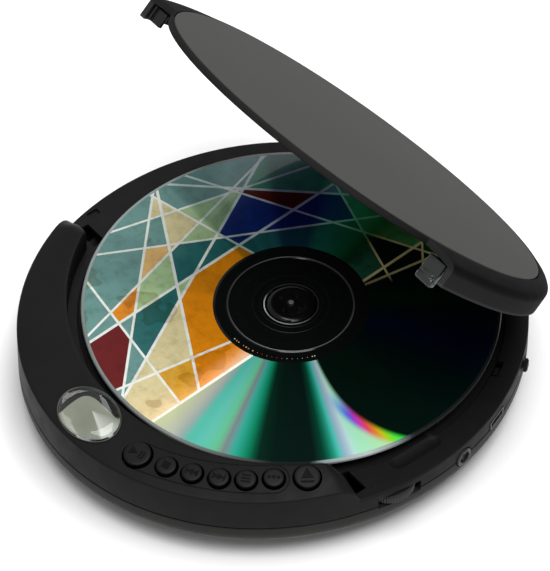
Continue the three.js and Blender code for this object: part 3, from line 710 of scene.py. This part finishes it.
def channel(path, half_width, depth):
    """A closed square tube along a closed path on the crescent, sunk into its surface."""
    verts, faces = [], []
    count = len(path)
    for i, point in enumerate(path):
        forward = (path[(i + 1) % count] - path[i - 1]).normalized()
        normal = surface_normal(point.x, point.y)
        side = Vector((forward.x, forward.y, 0)).cross(normal).normalized()
        base = Vector((point.x, point.y, surface_height(point.x, point.y)))
        for across, rise in ((-1, -depth), (1, -depth), (1, 0.6), (-1, 0.6)):
            verts.append(base + side * (across * half_width) + normal * rise)
        for k in range(4):
            n = (k + 1) % 4
            nxt = 4 * ((i + 1) % count)
            faces.append([4 * i + k, 4 * i + n, nxt + n, nxt + k])
    return new_object(verts, faces)


def finger_scoop():
    """A round-ended groove beside the disc's edge."""
    radius, y0, y1 = 4.0, -11.5, 0.8
    steps = 12
    profile = [ring(0, y0 - radius)]
    profile += [ring(radius * math.sin(a), y0 - radius * math.cos(a))
                for a in (math.pi / 2 * k / steps for k in range(1, steps + 1))]
    profile += [ring(radius * math.cos(a), y1 + radius * math.sin(a))
                for a in (math.pi / 2 * k / steps for k in range(steps))]
    profile.append(ring(0, y1 + radius))
    lying = Matrix.Rotation(-math.pi / 2, 4, "X")
    return moved(turned(profile, 48), Matrix.Translation((62.0, 0, 20.75)) @ lying)


def hinge_posts():
    """The hinge's foot on the deck and its bored barrel."""
    section = [(HINGE_Y - 1.5, DECK_Z - 0.6), (66.4, DECK_Z - 0.6), (66.2, 18.8), (65.9, 19.6),
               (HINGE_Y + 1.4, 21.6), (HINGE_Y - 1.5, 21.6)]
    half = 15.5
    foot = prism(section, -half, half)
    foot.data.transform(Matrix(((0, 0, 1), (1, 0, 0), (0, 1, 0))).to_4x4())
    barrel = bar_x(HINGE_R, -half, half, HINGE_Y, HINGE_Z)
    bores = [bar_x(1.1, *sorted((side * 8, side * 20)), HINGE_Y, HINGE_Z) for side in (1, -1)]
    return foot, cut(barrel, *bores)


def make_top_case():
    deck = turned(softened([
        ring(0, WELL_Z), ring(WELL_R - 0.4, WELL_Z), ring(WELL_R, DECK_Z), edge(0, DECK_Z), edge(0, SEAM_HIGH),
        edge(WALL, SEAM_HIGH), edge(WALL, DECK_UNDER), ring(0, DECK_UNDER),
    ], {3: 0.5, 4: 0.35}), FINE)
    horn = round_ends(turned(crescent_profile(0, SEAM_HIGH, True), FINE))
    combined(horn, [front_wedge([(0, 0), (ABOVE_ALL, 0)])], "INTERSECT")
    inset = 1.6  # the crescent's wall
    room = turned(crescent_profile(inset, SEAM_HIGH - 1, False), FINE)
    reach = inset + HORN_ROUND
    combined(room, [front_wedge([(0, inset), (DECK_Z, inset), (DECK_Z + 0.01, reach), (ABOVE_ALL, reach)])],
             "INTERSECT")
    combined(deck, [horn], "UNION")
    holes = [room]
    for name in KEYS:
        x, y = key_centre(name)
        holes.append(moved(post(KEY_RADIUS[name] + KEY_GAP, -8, 5), crescent_place(x, y)))
    frame_hole = prism(circle(WINDOW_X + 0.3, 72, squash=WINDOW_SQUASH), -5.5, 3.5)
    holes.append(moved(frame_hole, crescent_place(0, WINDOW_Y)))
    lens_slot = prism(obround(-56, -20, 6.5), *THROUGH_DECK)
    hub_hole = post(15, *THROUGH_DECK, sides=72)
    switch_slot = moved(box(-1, 1, -3, 3, -3, 3), Matrix.Translation((52.9, 32.3, DECK_Z)) @ about_z(31.4))
    holes += [lens_slot, hub_hole, key_groove(), finger_scoop()]
    for side in (1, -1):
        holes.append(box(*sorted((side * 55.6, side * 63.8)), -28.7, -24.5, *THROUGH_DECK))
    holes.append(box(59.0, 65.3, -29.3, -28.3, 16.9, 18.6))
    holes += [switch_slot, box(-67.2, -65.2, -22.4, -18.8, 17.0, 19)]
    cut(deck, *holes, *side_openings())
    pad = moved(prism(obround(-1.3, 1.3, 0.55), DECK_Z - 0.2, DECK_Z + 0.25),
                Matrix.Translation((64.6, -21.3, 0)) @ about_z(75))
    joined(deck, *hinge_posts(), pad)
    finished(deck, "case_upper", case_black, "case", ["top_case"])


# ---- keys
def triangle(x, y, size, turn=0.0):
    """A pointer of the given size, towards +X before it is turned, in degrees."""
    points = [(size * 0.6, 0), (-size * 0.4, size * 0.55), (-size * 0.4, -size * 0.55)]
    c, s = math.cos(math.radians(turn)), math.sin(math.radians(turn))
    return [(x + c * px - s * py, y + s * px + c * py) for px, py in points]


def rectangle(x, y, width, height):
    return [(x - width / 2, y - height / 2), (x + width / 2, y - height / 2),
            (x + width / 2, y + height / 2), (x - width / 2, y + height / 2)]


MARK_SCALE = 1.3
MARKS = {
    "play": [triangle(-1.0, 0, 1.9), rectangle(0.75, 0, 0.36, 1.9), rectangle(1.5, 0, 0.36, 1.9)],
    "stop": [rectangle(0, 0, 1.7, 1.7)],
    "previous": [triangle(0.9, 0, 1.4, 180), triangle(-0.3, 0, 1.4, 180), rectangle(-1.25, 0, 0.3, 1.5)],
    "next": [triangle(-0.9, 0, 1.4), triangle(0.3, 0, 1.4), rectangle(1.25, 0, 0.3, 1.5)],
    "program": [rectangle(0, y, 2.0, 0.34) for y in (-0.75, 0, 0.75)],
    "mode": [circle(0.4, 16, x, 0) for x in (-1.0, 0, 1.0)],
    "open": [triangle(0, 0.45, 2.5, 90), rectangle(0, -1.35, 2.9, 0.45)],
}


def make_keys():
    for name in KEYS:
        r = KEY_RADIUS[name]
        crown = [ring(0, 1.16), ring(0.5 * r, 1.15), ring(r - 0.55, 1.12), ring(r - 0.05, 0.92), ring(r, 0.5),
                 ring(r, -2.0), ring(1.2, -2.0), ring(1.2, -3.0), ring(0, -3.0)]
        cap = turned(softened(crown, {2: 0.3, 3: 0.2}), 64)
        place = crescent_place(*key_centre(name))
        finished(moved(cap, place), f"{name}_key_cap", key_black_painted_shade, f"{name}_key", [f"{name}_button"])
        marks = [prism([(MARK_SCALE * x, MARK_SCALE * y) for x, y in outline], 0.9, 1.27)
                 for outline in MARKS[name]]
        finished(moved(joined(marks[0], *marks[1:]), place), f"{name}_key_mark", mark_black, f"{name}_key")


# ---- display
def make_window():
    place = crescent_place(0, WINDOW_Y)
    stretch = Matrix.Diagonal((1, WINDOW_SQUASH, 1, 1))
    steps = 14
    dome = [ring(0, 2.1)]
    for k in range(1, steps + 1):
        share = k / steps
        dome.append(ring(WINDOW_X * share, 2.1 * math.sqrt(max(1 - share ** 2.6, 0)) - 0.1))
    dome += [ring(WINDOW_X, -1.8), ring(0, -1.8)]
    glass = moved(turned(dome, 96), place @ stretch)
    finished(glass, "display_dome", clear_window, "case", ["display_window"], crease=40)
    outline = []
    for k in range(72):
        c, s = math.cos(TAU * k / 72), math.sin(TAU * k / 72)
        x, y = 1.3 + 8.2 * math.copysign(abs(c) ** 0.55, c), -0.8 + 5.5 * math.copysign(abs(s) ** 0.55, s)
        shrink = max(math.hypot(x / 9.6, y / 7.1), 1)
        outline.append((x / shrink, y / shrink))
    cell = moved(prism(outline, -4.4, -2.3), place)
    finished(cell, "display_cell", lcd_cell, "case", ["display_module"])
    liner = [ring(0, -4.7), ring(WINDOW_X - 0.6, -4.7), ring(WINDOW_X - 0.3, -2.0), ring(WINDOW_X + 0.1, -0.1),
             ring(WINDOW_X + 0.25, -0.1), ring(WINDOW_X + 0.25, -5.3), ring(0, -5.3)]
    tray = moved(turned(liner, 96), place @ stretch)
    finished(tray, "display_tray", plain_black, "case")
    lip = [ring(WINDOW_X - 0.02, -0.5), ring(WINDOW_X - 0.02, 0.12), ring(WINDOW_X + 0.1, 0.2),
           ring(WINDOW_X + 0.22, 0.12), ring(WINDOW_X + 0.22, -0.5)]
    finished(moved(turned(lip, 96), place @ stretch), "display_rim", ring_grey, "case")


make_bottom_case()
make_top_case()
make_keys()
make_window()


# ---- lid, drawn closed
def make_lid():
    plate_hole = PLATE_R + 0.4
    cap = turned(softened([
        ring(0, LID_UNDER), ring(LID_FRONT_R, LID_UNDER), ring(LID_FRONT_R, LID_TOP), ring(plate_hole, LID_TOP),
        ring(plate_hole, 25.2), ring(0, 25.2),
    ], {1: 0.35, 2: 0.45}))
    skirt = turned(softened([
        ring(plate_hole, LID_UNDER), edge(2.1, 23.4), edge(2.1, LID_RIM), edge(0.3, LID_RIM), edge(0.3, 24.0),
        edge(1.6, 25.2), ring(LID_FRONT_R, LID_TOP), ring(plate_hole, LID_TOP),
    ], {3: 0.25, 4: 0.8, 5: 0.8}))
    cut(skirt, front_wedge([(0, -SKIRT_GAP), (ABOVE_ALL, -SKIRT_GAP)]), box(-20, 20, 60, 75, 15, 23.2),
        box(-15.8, 15.8, 60, 66.2, 15, LID_UNDER))
    ears = []
    for side in (1, -1):
        x0, x1 = sorted((side * 15.8, side * 18.4))
        ears += [bar_x(HINGE_R, x0, x1, HINGE_Y, HINGE_Z),
                 box(x0, x1, HINGE_Y - HINGE_R, HINGE_Y + HINGE_R, HINGE_Z, LID_UNDER + 0.3)]
    ribs = [turned([ring(r, LID_UNDER + 0.2), ring(r, LID_UNDER - 0.5), ring(r + 0.8, LID_UNDER - 0.5),
                    ring(r + 0.8, LID_UNDER + 0.2)]) for r in (22.0, 56.0)]
    combined(cap, [skirt], "UNION")
    joined(cap, *ears, *ribs)
    finished(cap, "lid_frame", lid_black_painted_light, "lid", ["lid_shell"], lid=True)
    plate = turned(softened([
        ring(0, 25.5), ring(PLATE_R, 25.5), ring(PLATE_R, 26.6), ring(0, 26.6),
    ], {2: 0.25}))
    finished(plate, "lid_top_plate", plate_grey, "lid", ["lid_plate"], lid=True)


def make_catches():
    foot = rounded(box(56.6, 63.0, -28.0, -25.2, 15.4, 18.0), 0.9)
    stem = rounded(box(56.6, 63.0, -27.2, -25.6, 16.6, 23.1), 0.3)
    fillet = rounded(box(57.6, 62.0, -27.7, -25.4, 17.0, 18.9), 0.5)
    finished(joined(foot, stem, fillet), "lid_hook", catch_grey, "lid", ["lid_catch_right"],
             lid=True)
    tab = rounded(box(-63.4, -59.6, -27.2, -25.6, 18.6, 23.1), 0.25)
    rib = rounded(box(-63.9, -63.3, -28.0, -25.6, 18.6, 23.1), 0.12)
    finished(joined(tab, rib), "lid_tab", catch_dark, "lid", ["lid_catch_left"], lid=True)


make_lid()
make_catches()


# ---- controls on the right side
def make_wheel():
    ridges, r = 64, 7.5
    rim = [(r - (0.0 if k % 2 else 0.28)) for k in range(2 * ridges)]
    levels = []
    for z, inset in ((-1.3, 0.5), (-0.95, 0.0), (0.95, 0.0), (1.3, 0.5)):
        levels.append((z, [((radius - inset) * math.cos(math.pi * k / ridges),
                            (radius - inset) * math.sin(math.pi * k / ridges)) for k, radius in enumerate(rim)]))
    wheel = joined(stacked(levels), post(2.2, -1.9, 1.5))
    x, y, z = (v / MM for v in joints["volume_turn"]["pos_m"])
    moved(wheel, Matrix.Translation((x, y - AXIS_Y, z)))
    finished(wheel, "volume_thumbwheel", wheel_black, "wheel", ["volume_wheel"], crease=20)


def make_jack():
    collar = turned([ring(1.8, -9.0), ring(1.8, 0.3), ring(2.05, 0.5), ring(2.5, 0.5), ring(2.85, 0.2),
                     ring(2.85, -2.2), ring(3.2, -2.2), ring(3.2, -9.0)], 64)
    finished(moved(collar, JACK_PLACE @ TO_X), "earphone_socket", socket_black, "case", ["headphone_jack"])
    sleeve = turned([ring(1.5, -8.5), ring(1.5, -0.6), ring(1.78, -0.6), ring(1.78, -8.5)], 48)
    finished(moved(sleeve, JACK_PLACE @ TO_X), "earphone_sleeve", socket_metal, "case")


make_wheel()
make_jack()


# ---- disc, about its own axis
def srgb(r, g, b):
    """Linear colour from the 0 to 255 values of a screen."""
    return tuple(((v / 255 + 0.055) / 1.055) ** 2.4 if v > 10 else v / 255 / 12.92 for v in (r, g, b))


TEAL, DEEP_TEAL, ORANGE = srgb(98, 140, 136), srgb(34, 98, 98), srgb(214, 130, 12)
PALE_GREEN, TAN, CREAM = srgb(160, 188, 140), srgb(214, 172, 106), srgb(206, 194, 148)
AMBER, OLIVE, LEAF_GREEN = srgb(202, 150, 44), srgb(164, 142, 70), srgb(8, 78, 14)
DARK_RED, NAVY, BLUE_GREY, GREEN = srgb(96, 6, 10), srgb(16, 44, 120), srgb(112, 140, 166), srgb(70, 158, 122)
WHITE_INK, NEAR_BLACK = srgb(222, 227, 221), srgb(9, 14, 11)
PRINT_R0, PRINT_R1 = 22.4, 59.0
BARE_WAY, BARE_FROM = 3.15, 7.15  # the straight line along which the paint stops
# straight bands of the print: which way each faces in degrees, its distance from the axis, its width
BANDS = [(BARE_WAY, BARE_FROM, 0.9), (96, 47, 0.75), (118, 34, 0.75), (137, 44, 0.85), (152, 29, 0.75),
         (166, 47, 0.75), (183, 27, 0.9), (196, 40, 0.75), (209, 30, 0.85), (226, 44, 0.75), (241, 31, 0.85),
         (104, 9, 0.75), (171, -4, 0.85), (74, 30, 0.65), (262, 46, 0.75), (52, 38, 0.65)]
# paint spots: each facet takes the colour of the spot nearest its middle (angle in degrees, radius)
SPOTS = [(128, 52, BLUE_GREY), (136, 34, NAVY), (146, 50, GREEN), (150, 40, DARK_RED), (158, 54, TEAL),
         (160, 30, NAVY), (165, 44, ORANGE), (176, 54, TEAL), (177, 38, PALE_GREEN), (186, 48, CREAM),
         (190, 30, DEEP_TEAL), (197, 55, TEAL), (204, 42, TAN), (210, 29, DEEP_TEAL), (214, 52, TEAL),
         (222, 36, PALE_GREEN), (228, 50, ORANGE), (236, 40, DEEP_TEAL), (240, 54, TEAL), (246, 30, ORANGE),
         (250, 46, DARK_RED), (258, 38, CREAM), (262, 55, TEAL), (270, 50, CREAM), (276, 28, ORANGE),
         (278, 40, AMBER), (283, 52, OLIVE), (104, 50, GREEN), (112, 34, DEEP_TEAL), (86, 54, LEAF_GREEN),
         (78, 36, NEAR_BLACK), (60, 48, NEAR_BLACK), (40, 40, NEAR_BLACK), (15, 45, NEAR_BLACK),
         (-15, 45, NEAR_BLACK), (-45, 45, NEAR_BLACK), (90, 28, NEAR_BLACK)]


def polar(degrees, radius):
    return Vector((math.cos(math.radians(degrees)), math.sin(math.radians(degrees)))) * radius


def make_print():
    """The printed face: a flat ring sliced along the bands, with each facet's own colour."""
    verts, faces = [], []
    for i in range(SIDES):
        for radius in (PRINT_R0, PRINT_R1):
            verts.append((*polar(360 * i / SIDES, radius), DISC_TOP + 0.02))
        j = (i + 1) % SIDES
        faces.append([2 * i, 2 * i + 1, 2 * j + 1, 2 * j])
    face = new_object(verts, faces)
    shape = bmesh.new()
    shape.from_mesh(face.data)
    edges = [(polar(way, 1), distance + side * width / 2) for way, distance, width in BANDS for side in (-1, 1)]
    edges += [(polar(20, 1), 0.5), (polar(20, 1), -0.5)]
    for normal, distance in edges:
        everything = shape.verts[:] + shape.edges[:] + shape.faces[:]
        bmesh.ops.bisect_plane(shape, geom=everything, plane_co=(*(normal * distance), 0), plane_no=(*normal, 0))
    facets = {}
    for item in shape.faces:
        middle = item.calc_center_median().xy
        if any(abs(middle.dot(polar(way, 1)) - distance) < width / 2 for way, distance, width in BANDS):
            continue
        sides_of = tuple(middle.dot(polar(way, 1)) > distance for way, distance, _ in BANDS)
        facets.setdefault(sides_of, []).append(item)
    paint = shape.loops.layers.float_color.new("paint")

    def fill(items, color):
        for item in items:
            for loop in item.loops:
                loop[paint] = rgba(color)

    fill(shape.faces, WHITE_INK)
    for items in facets.values():
        middle = sum((item.calc_center_median().xy * item.calc_area() for item in items), Vector((0, 0)))
        middle /= sum(item.calc_area() for item in items)
        fill(items, min(SPOTS, key=lambda spot: (polar(spot[0], spot[1]) - middle).length)[2])
    shape.to_mesh(face.data)
    shape.free()
    finished(face, "disc_print", print_material(), "spindle")


def at(degrees):
    """An angle from the +X axis, from -90 to 270 degrees, as a share of a full turn."""
    return (degrees + 90) / 360


def around(stops, color=lambda *channels: channels):
    """Ramp stops given by angle, and by colours that a function may convert."""
    return [(at(degrees), color(*value) if isinstance(value, tuple) else value) for degrees, value in stops]


def disc_plane(n):
    """Millimetres from the disc's axis."""
    x, y = (n.math("MULTIPLY", n.part(n.position(), axis), 1 / MM) for axis in "XY")
    return x, n.math("SUBTRACT", y, AXIS_Y)


def disc_polar(n):
    """The angle round the disc, as the share that at() gives, and the radius in millimetres."""
    x, y = disc_plane(n)
    radius = n.math("SQRT", n.math("ADD", n.math("MULTIPLY", x, x), n.math("MULTIPLY", y, y)))
    return n.math("FRACT", n.math("ADD", n.math("DIVIDE", n.math("ARCTAN2", y, x), TAU), 1.25)), radius


def print_material():
    """Printed foil with painted light: the print is painted lit on one side of the disc and in painted shade
    elsewhere, and coloured streaks of light fan from its hub.
    """
    n = Nodes("disc_foil")
    turn, radius = disc_polar(n)
    x, y = disc_plane(n)
    reach = n.math("DIVIDE", n.math("SUBTRACT", radius, PRINT_R0), PRINT_R1 - PRINT_R0)
    way = polar(BARE_WAY, 1)
    across = n.math("ADD", n.math("MULTIPLY", x, way.x), n.math("MULTIPLY", y, way.y))
    bare = n.math("MULTIPLY", n.math("GREATER_THAN", across, BARE_FROM + 0.45),
                  n.math("LESS_THAN", turn, at(-50)))
    paint = n.add("ShaderNodeAttribute", {}, attribute_name="paint").outputs["Color"]
    wash = n.ramp(n.noise(230.0, 6.0, 0.7), [(0.36, (0.74, 0.74, 0.72)), (0.5, 0.92), (0.66, 1)])
    blot = n.ramp(n.noise(70.0, 2.0), [(0.62, 1), (0.635, (0.74, 0.68, 0.60)), (0.69, (0.82, 0.78, 0.72))])
    paint = n.mix(1.0, n.mix(1.0, paint, wash, "MULTIPLY"), blot, "MULTIPLY")
    painted_light_on_print = n.ramp(turn, around([  # painted light and shade on the print, by angle round the disc
        (-90, 1), (-61, 1), (-60.9, 0), (68, 0), (77, (0.95, 0.82, 0.42)), (88, (0.95, 0.82, 0.42)),
        (97, (0.45, 0.36, 0.16)), (101, (0.10, 0.20, 0.08)), (112, (0.20, 0.55, 0.40)), (125, (0.36, 0.70, 0.62)),
        (131, (0.26, 0.26, 0.42)), (147, (0.22, 0.24, 0.42)), (151, (0.60, 0.66, 0.78)),
        (164, (0.66, 0.76, 0.80)), (167, (0.46, 0.56, 0.58)), (178, (0.52, 0.62, 0.62)),
        (180, (0.96, 0.97, 0.95)), (201, (0.96, 0.97, 0.95)), (204, (0.78, 0.80, 0.80)),
        (221, (0.82, 0.84, 0.83)), (224, (0.97, 0.97, 0.95)), (270, 1),
    ]))
    print_and_painted_light = n.mix(bare, n.mix(1.0, paint, painted_light_on_print, "MULTIPLY"), 0)
    sheen = n.ramp(turn, around([  # light on the painted side
        (-90, (40, 20, 0)), (-84, (70, 40, 5)), (-78, (150, 110, 80)), (-72, (170, 175, 165)),
        (-64, (170, 175, 165)), (-60, 0), (131, 0), (262, 0), (270, (40, 20, 0)),
    ], srgb))
    streaks = n.ramp(turn, around([  # light on the bare foil
        (-90, (186, 190, 140)), (-78, (184, 192, 148)), (-73, (168, 172, 158)), (-70.5, (140, 160, 158)),
        (-68.5, (74, 178, 158)), (-64, (92, 182, 168)), (-60, (94, 184, 138)), (-57.5, (120, 120, 130)),
        (-55.5, (52, 164, 148)), (-51.5, (10, 128, 92)), (-48.5, (4, 40, 28)), (-44, (4, 24, 18)),
        (-32, (5, 22, 18)), (-29.5, (4, 60, 44)), (-27.2, (14, 118, 90)), (-25.2, (64, 184, 168)),
        (-23.2, (156, 164, 196)), (-21.3, (176, 214, 208)), (-19.5, (160, 222, 188)), (-8, (176, 226, 150)),
        (0, (2, 20, 14)), (20, (1, 14, 14)), (38, (2, 9, 32)), (46, (1, 14, 18)), (58, (1, 26, 10)),
        (72, (1, 10, 8)), (96, (1, 12, 8)), (106, (4, 60, 20)), (119, (8, 50, 30)), (131, 0), (270, 0),
    ], srgb))
    # the right-hand streak starts narrow at the hub, opens towards the rim and ends in a rainbow
    limit = n.math("ADD", at(-20.3), n.math("MULTIPLY", n.math("POWER", reach, 2.2), 14 / 360))
    left = n.math("SUBTRACT", limit, turn)
    front = n.math("LESS_THAN", turn, at(5))
    rainbow = n.ramp(turn, around([
        (-19.5, (80, 130, 220)), (-17.5, (90, 70, 215)), (-16, (190, 60, 190)), (-14.6, (222, 50, 110)),
        (-13.2, (228, 90, 40)), (-11.6, (214, 176, 30)), (-10, (130, 216, 30)), (-8, (50, 232, 70)),
    ], srgb))
    near = n.math("SUBTRACT", 1.0, n.smooth_step(left, 0.006, 0.016))
    near = n.math("MULTIPLY", near, n.math("MULTIPLY", n.smooth_step(reach, 0.30, 0.62), front))
    streaks = n.mix(near, streaks, rainbow)
    beyond = n.math("SUBTRACT", 1.0, n.smooth_step(left, -0.004, 0.004))
    streaks = n.mix(n.math("MULTIPLY", beyond, front), streaks, srgb(2, 18, 12))
    foil = n.math("MAXIMUM", bare, n.math("MULTIPLY", n.math("GREATER_THAN", turn, at(-55)),
                                          n.math("LESS_THAN", turn, at(131))))
    n.set(Base_Color=n.mix(1.0, print_and_painted_light, n.mix(foil, sheen, streaks), "ADD"), Roughness=0.3,
          Specular_IOR_Level=0.12, Coat_Weight=0.15, Coat_Roughness=0.04)
    return n.material


def rim_material():
    """The clear edge of the disc, which gathers light on its left and nearest the viewer."""
    n = Nodes("disc_edge")
    turn, _ = disc_polar(n)
    dim, pale, bright = (0.012, 0.014, 0.014), (0.26, 0.31, 0.31), (0.48, 0.53, 0.53)
    soft = (0.16, 0.18, 0.17)
    painted_light_band = n.ramp(turn, around([
        (-90, soft), (-66, soft), (-44, dim), (-33, dim), (-30, pale), (-18, bright), (-10, pale), (-4, dim),
        (85, dim), (105, (0.055, 0.05, 0.042)), (165, (0.075, 0.07, 0.06)), (178, pale), (205, pale),
        (240, soft),
    ]))
    n.set(Base_Color=painted_light_band, Roughness=n.ramp(n.noise(200.0), [(0.3, 0.08), (0.7, 0.16)]), Specular_IOR_Level=0.3)
    return n.material


def line_material():
    """The raised rings near the hub, which catch the light on one side."""
    n = Nodes("disc_lines")
    turn, radius = disc_polar(n)
    inner = n.ramp(turn, around([(-90, 0.30), (-50, 0.42), (-20, 0.26), (10, 0.03), (120, 0.022), (200, 0.03),
                                 (222, 0.55), (245, 0.62), (270, 0.30)]))
    outer = n.ramp(turn, around([(-90, 0.12), (-45, 0.30), (-20, 0.20), (15, 0.10), (60, 0.02), (100, 0.07),
                                 (150, 0.20), (185, 0.06), (230, 0.035), (270, 0.12)]))
    faint = n.ramp(turn, around([(-90, 0.015), (-50, 0.07), (-20, 0.04), (0, 0.008), (240, 0.008),
                                 (270, 0.015)]))
    color = n.mix(n.math("GREATER_THAN", radius, 8.2), inner, faint)
    n.set(Base_Color=n.mix(n.math("GREATER_THAN", radius, 15.0), color, outer), Roughness=0.35,
          Specular_IOR_Level=0.2)
    return n.material


def ridge(radius, width, high):
    """A low ring moulded on the disc's face."""
    return [ring(radius - width, DISC_TOP), ring(radius - width * 0.4, DISC_TOP + high),
            ring(radius + width * 0.4, DISC_TOP + high), ring(radius + width, DISC_TOP)]


def make_disc():
    rim, low, inside = DISC_R, DISC_TOP - 1.2, PRINT_R1 + 0.02
    profile = [ring(7.5, low + 0.2), ring(7.5, DISC_TOP - 0.15), ring(7.65, DISC_TOP + 0.03),
               ring(8.0, DISC_TOP + 0.03), ring(8.25, DISC_TOP), *ridge(11.4, 0.3, 0.05),
               *ridge(14.6, 0.3, 0.05), *ridge(18.1, 0.42, 0.16), *ridge(21.6, 0.3, 0.05),
               ring(rim - 0.25, DISC_TOP), ring(rim, DISC_TOP - 0.25), ring(rim, low + 0.25),
               ring(rim - 0.25, low), ring(7.7, low)]
    finished(turned(profile), "disc_body", disc_clear, "spindle", ["compact_disc"])
    lines = [turned([ring(r - w, DISC_TOP - 0.1), ring(r - w, DISC_TOP + h), ring(r + w, DISC_TOP + h),
                     ring(r + w, DISC_TOP - 0.1)])
             for r, w, h in ((7.75, 0.17, 0.06), (18.1, 0.13, 0.18), (11.0, 0.10, 0.03), (8.9, 0.06, 0.03))]
    finished(joined(lines[0], *lines[1:]), "disc_rings", line_material(), "spindle")
    rim_profile = [ring(inside, DISC_TOP - 0.1), ring(inside, DISC_TOP + 0.02),
                   ring(rim - 0.22, DISC_TOP + 0.02), ring(rim + 0.02, DISC_TOP - 0.25),
                   ring(rim + 0.02, low + 0.3), ring(rim - 0.3, low + 0.3), ring(rim - 0.3, DISC_TOP - 0.4)]
    finished(turned(rim_profile), "disc_rim", rim_material(), "spindle")
    # specks of painted glints on the code ring, where the streaks of light fall
    places = [(turn, 0.17) for turn in (-89, -86.5, -84, -79, -76.5, -74, -70, -22, -20)]
    places += [(turn, 0.09) for turn in range(-66, -24, 4)]
    glint_specks = [moved(box(-half, half, 20.85 - half, 20.85 + half, DISC_TOP - 0.05, DISC_TOP + 0.03),
                    about_z(turn - 90)) for turn, half in places]
    finished(joined(glint_specks[0], *glint_specks[1:]), "disc_code", code_painted_glints, "spindle")


def make_hub():
    top = [ring(0, 22.35), ring(0.95, 22.35), ring(1.15, 22.0), ring(2.0, 21.85), ring(4.2, 21.95),
           ring(4.7, 22.15), ring(5.5, 22.2), ring(6.3, 22.0), ring(6.9, 21.5), ring(7.1, 20.9),
           ring(7.1, 20.0), ring(13.5, 20.0), ring(13.5, 18.4), ring(0, 18.4)]
    hub = turned(top, 96)
    grips = [moved(box(5.2, 7.3, -0.7, 0.7, 21.0, 21.75), about_z(turn)) for turn in (75, 195, 315)]
    marks = [moved(box(2.8, 3.9, -0.28, 0.28, 21.5, 22.12), about_z(turn)) for turn in (15, 105, 195, 285)]
    finished(joined(hub, *grips, *marks), "spindle_hub", hub_black, "spindle", ["turntable"])
    pin = turned([ring(0, 22.52), ring(0.6, 22.47), ring(0.98, 22.2), ring(0.98, 21.8), ring(0, 21.8)], 32)
    finished(pin, "spindle_pin", pin_grey, "spindle")


make_disc()
make_print()
make_hub()

# ---- CAD pieces that keep their shape
STEEL_PARTS = ["mechanism_chassis", "spindle_motor", "guide_rod_front", "guide_rod_back", "sled_motor",
               "lead_screw", "battery_contact_left", "battery_contact_right", "hinge_pin_left", "hinge_pin_right",
               *(f"case_screw_{k}" for k in range(1, 5))]
RUBBER_PARTS = ["button_mat", "disc_clamp", *(f"foot_{k}" for k in range(1, 5)),
                *(f"chassis_damper_{k}" for k in range(1, 4))]
BLACK_PARTS = ["volume_control", "hold_switch", "lid_switch", "pickup_sled"]
kept = {
    **dict.fromkeys(STEEL_PARTS, steel), **dict.fromkeys(RUBBER_PARTS, rubber_black),
    **dict.fromkeys(BLACK_PARTS, plain_black), "control_board": board_green, "main_board": board_green,
    "power_socket": socket_black, "hold_knob": knob_black, "lid_latch": catch_grey, "pickup_lens": clear_window,
    "battery_cell_1": cell_blue, "battery_cell_2": cell_blue, "battery_cover": case_black,
}
for node, material in kept.items():
    piece = frame["nodes"][node]
    piece.data.materials.clear()
    piece.data.materials.append(material)
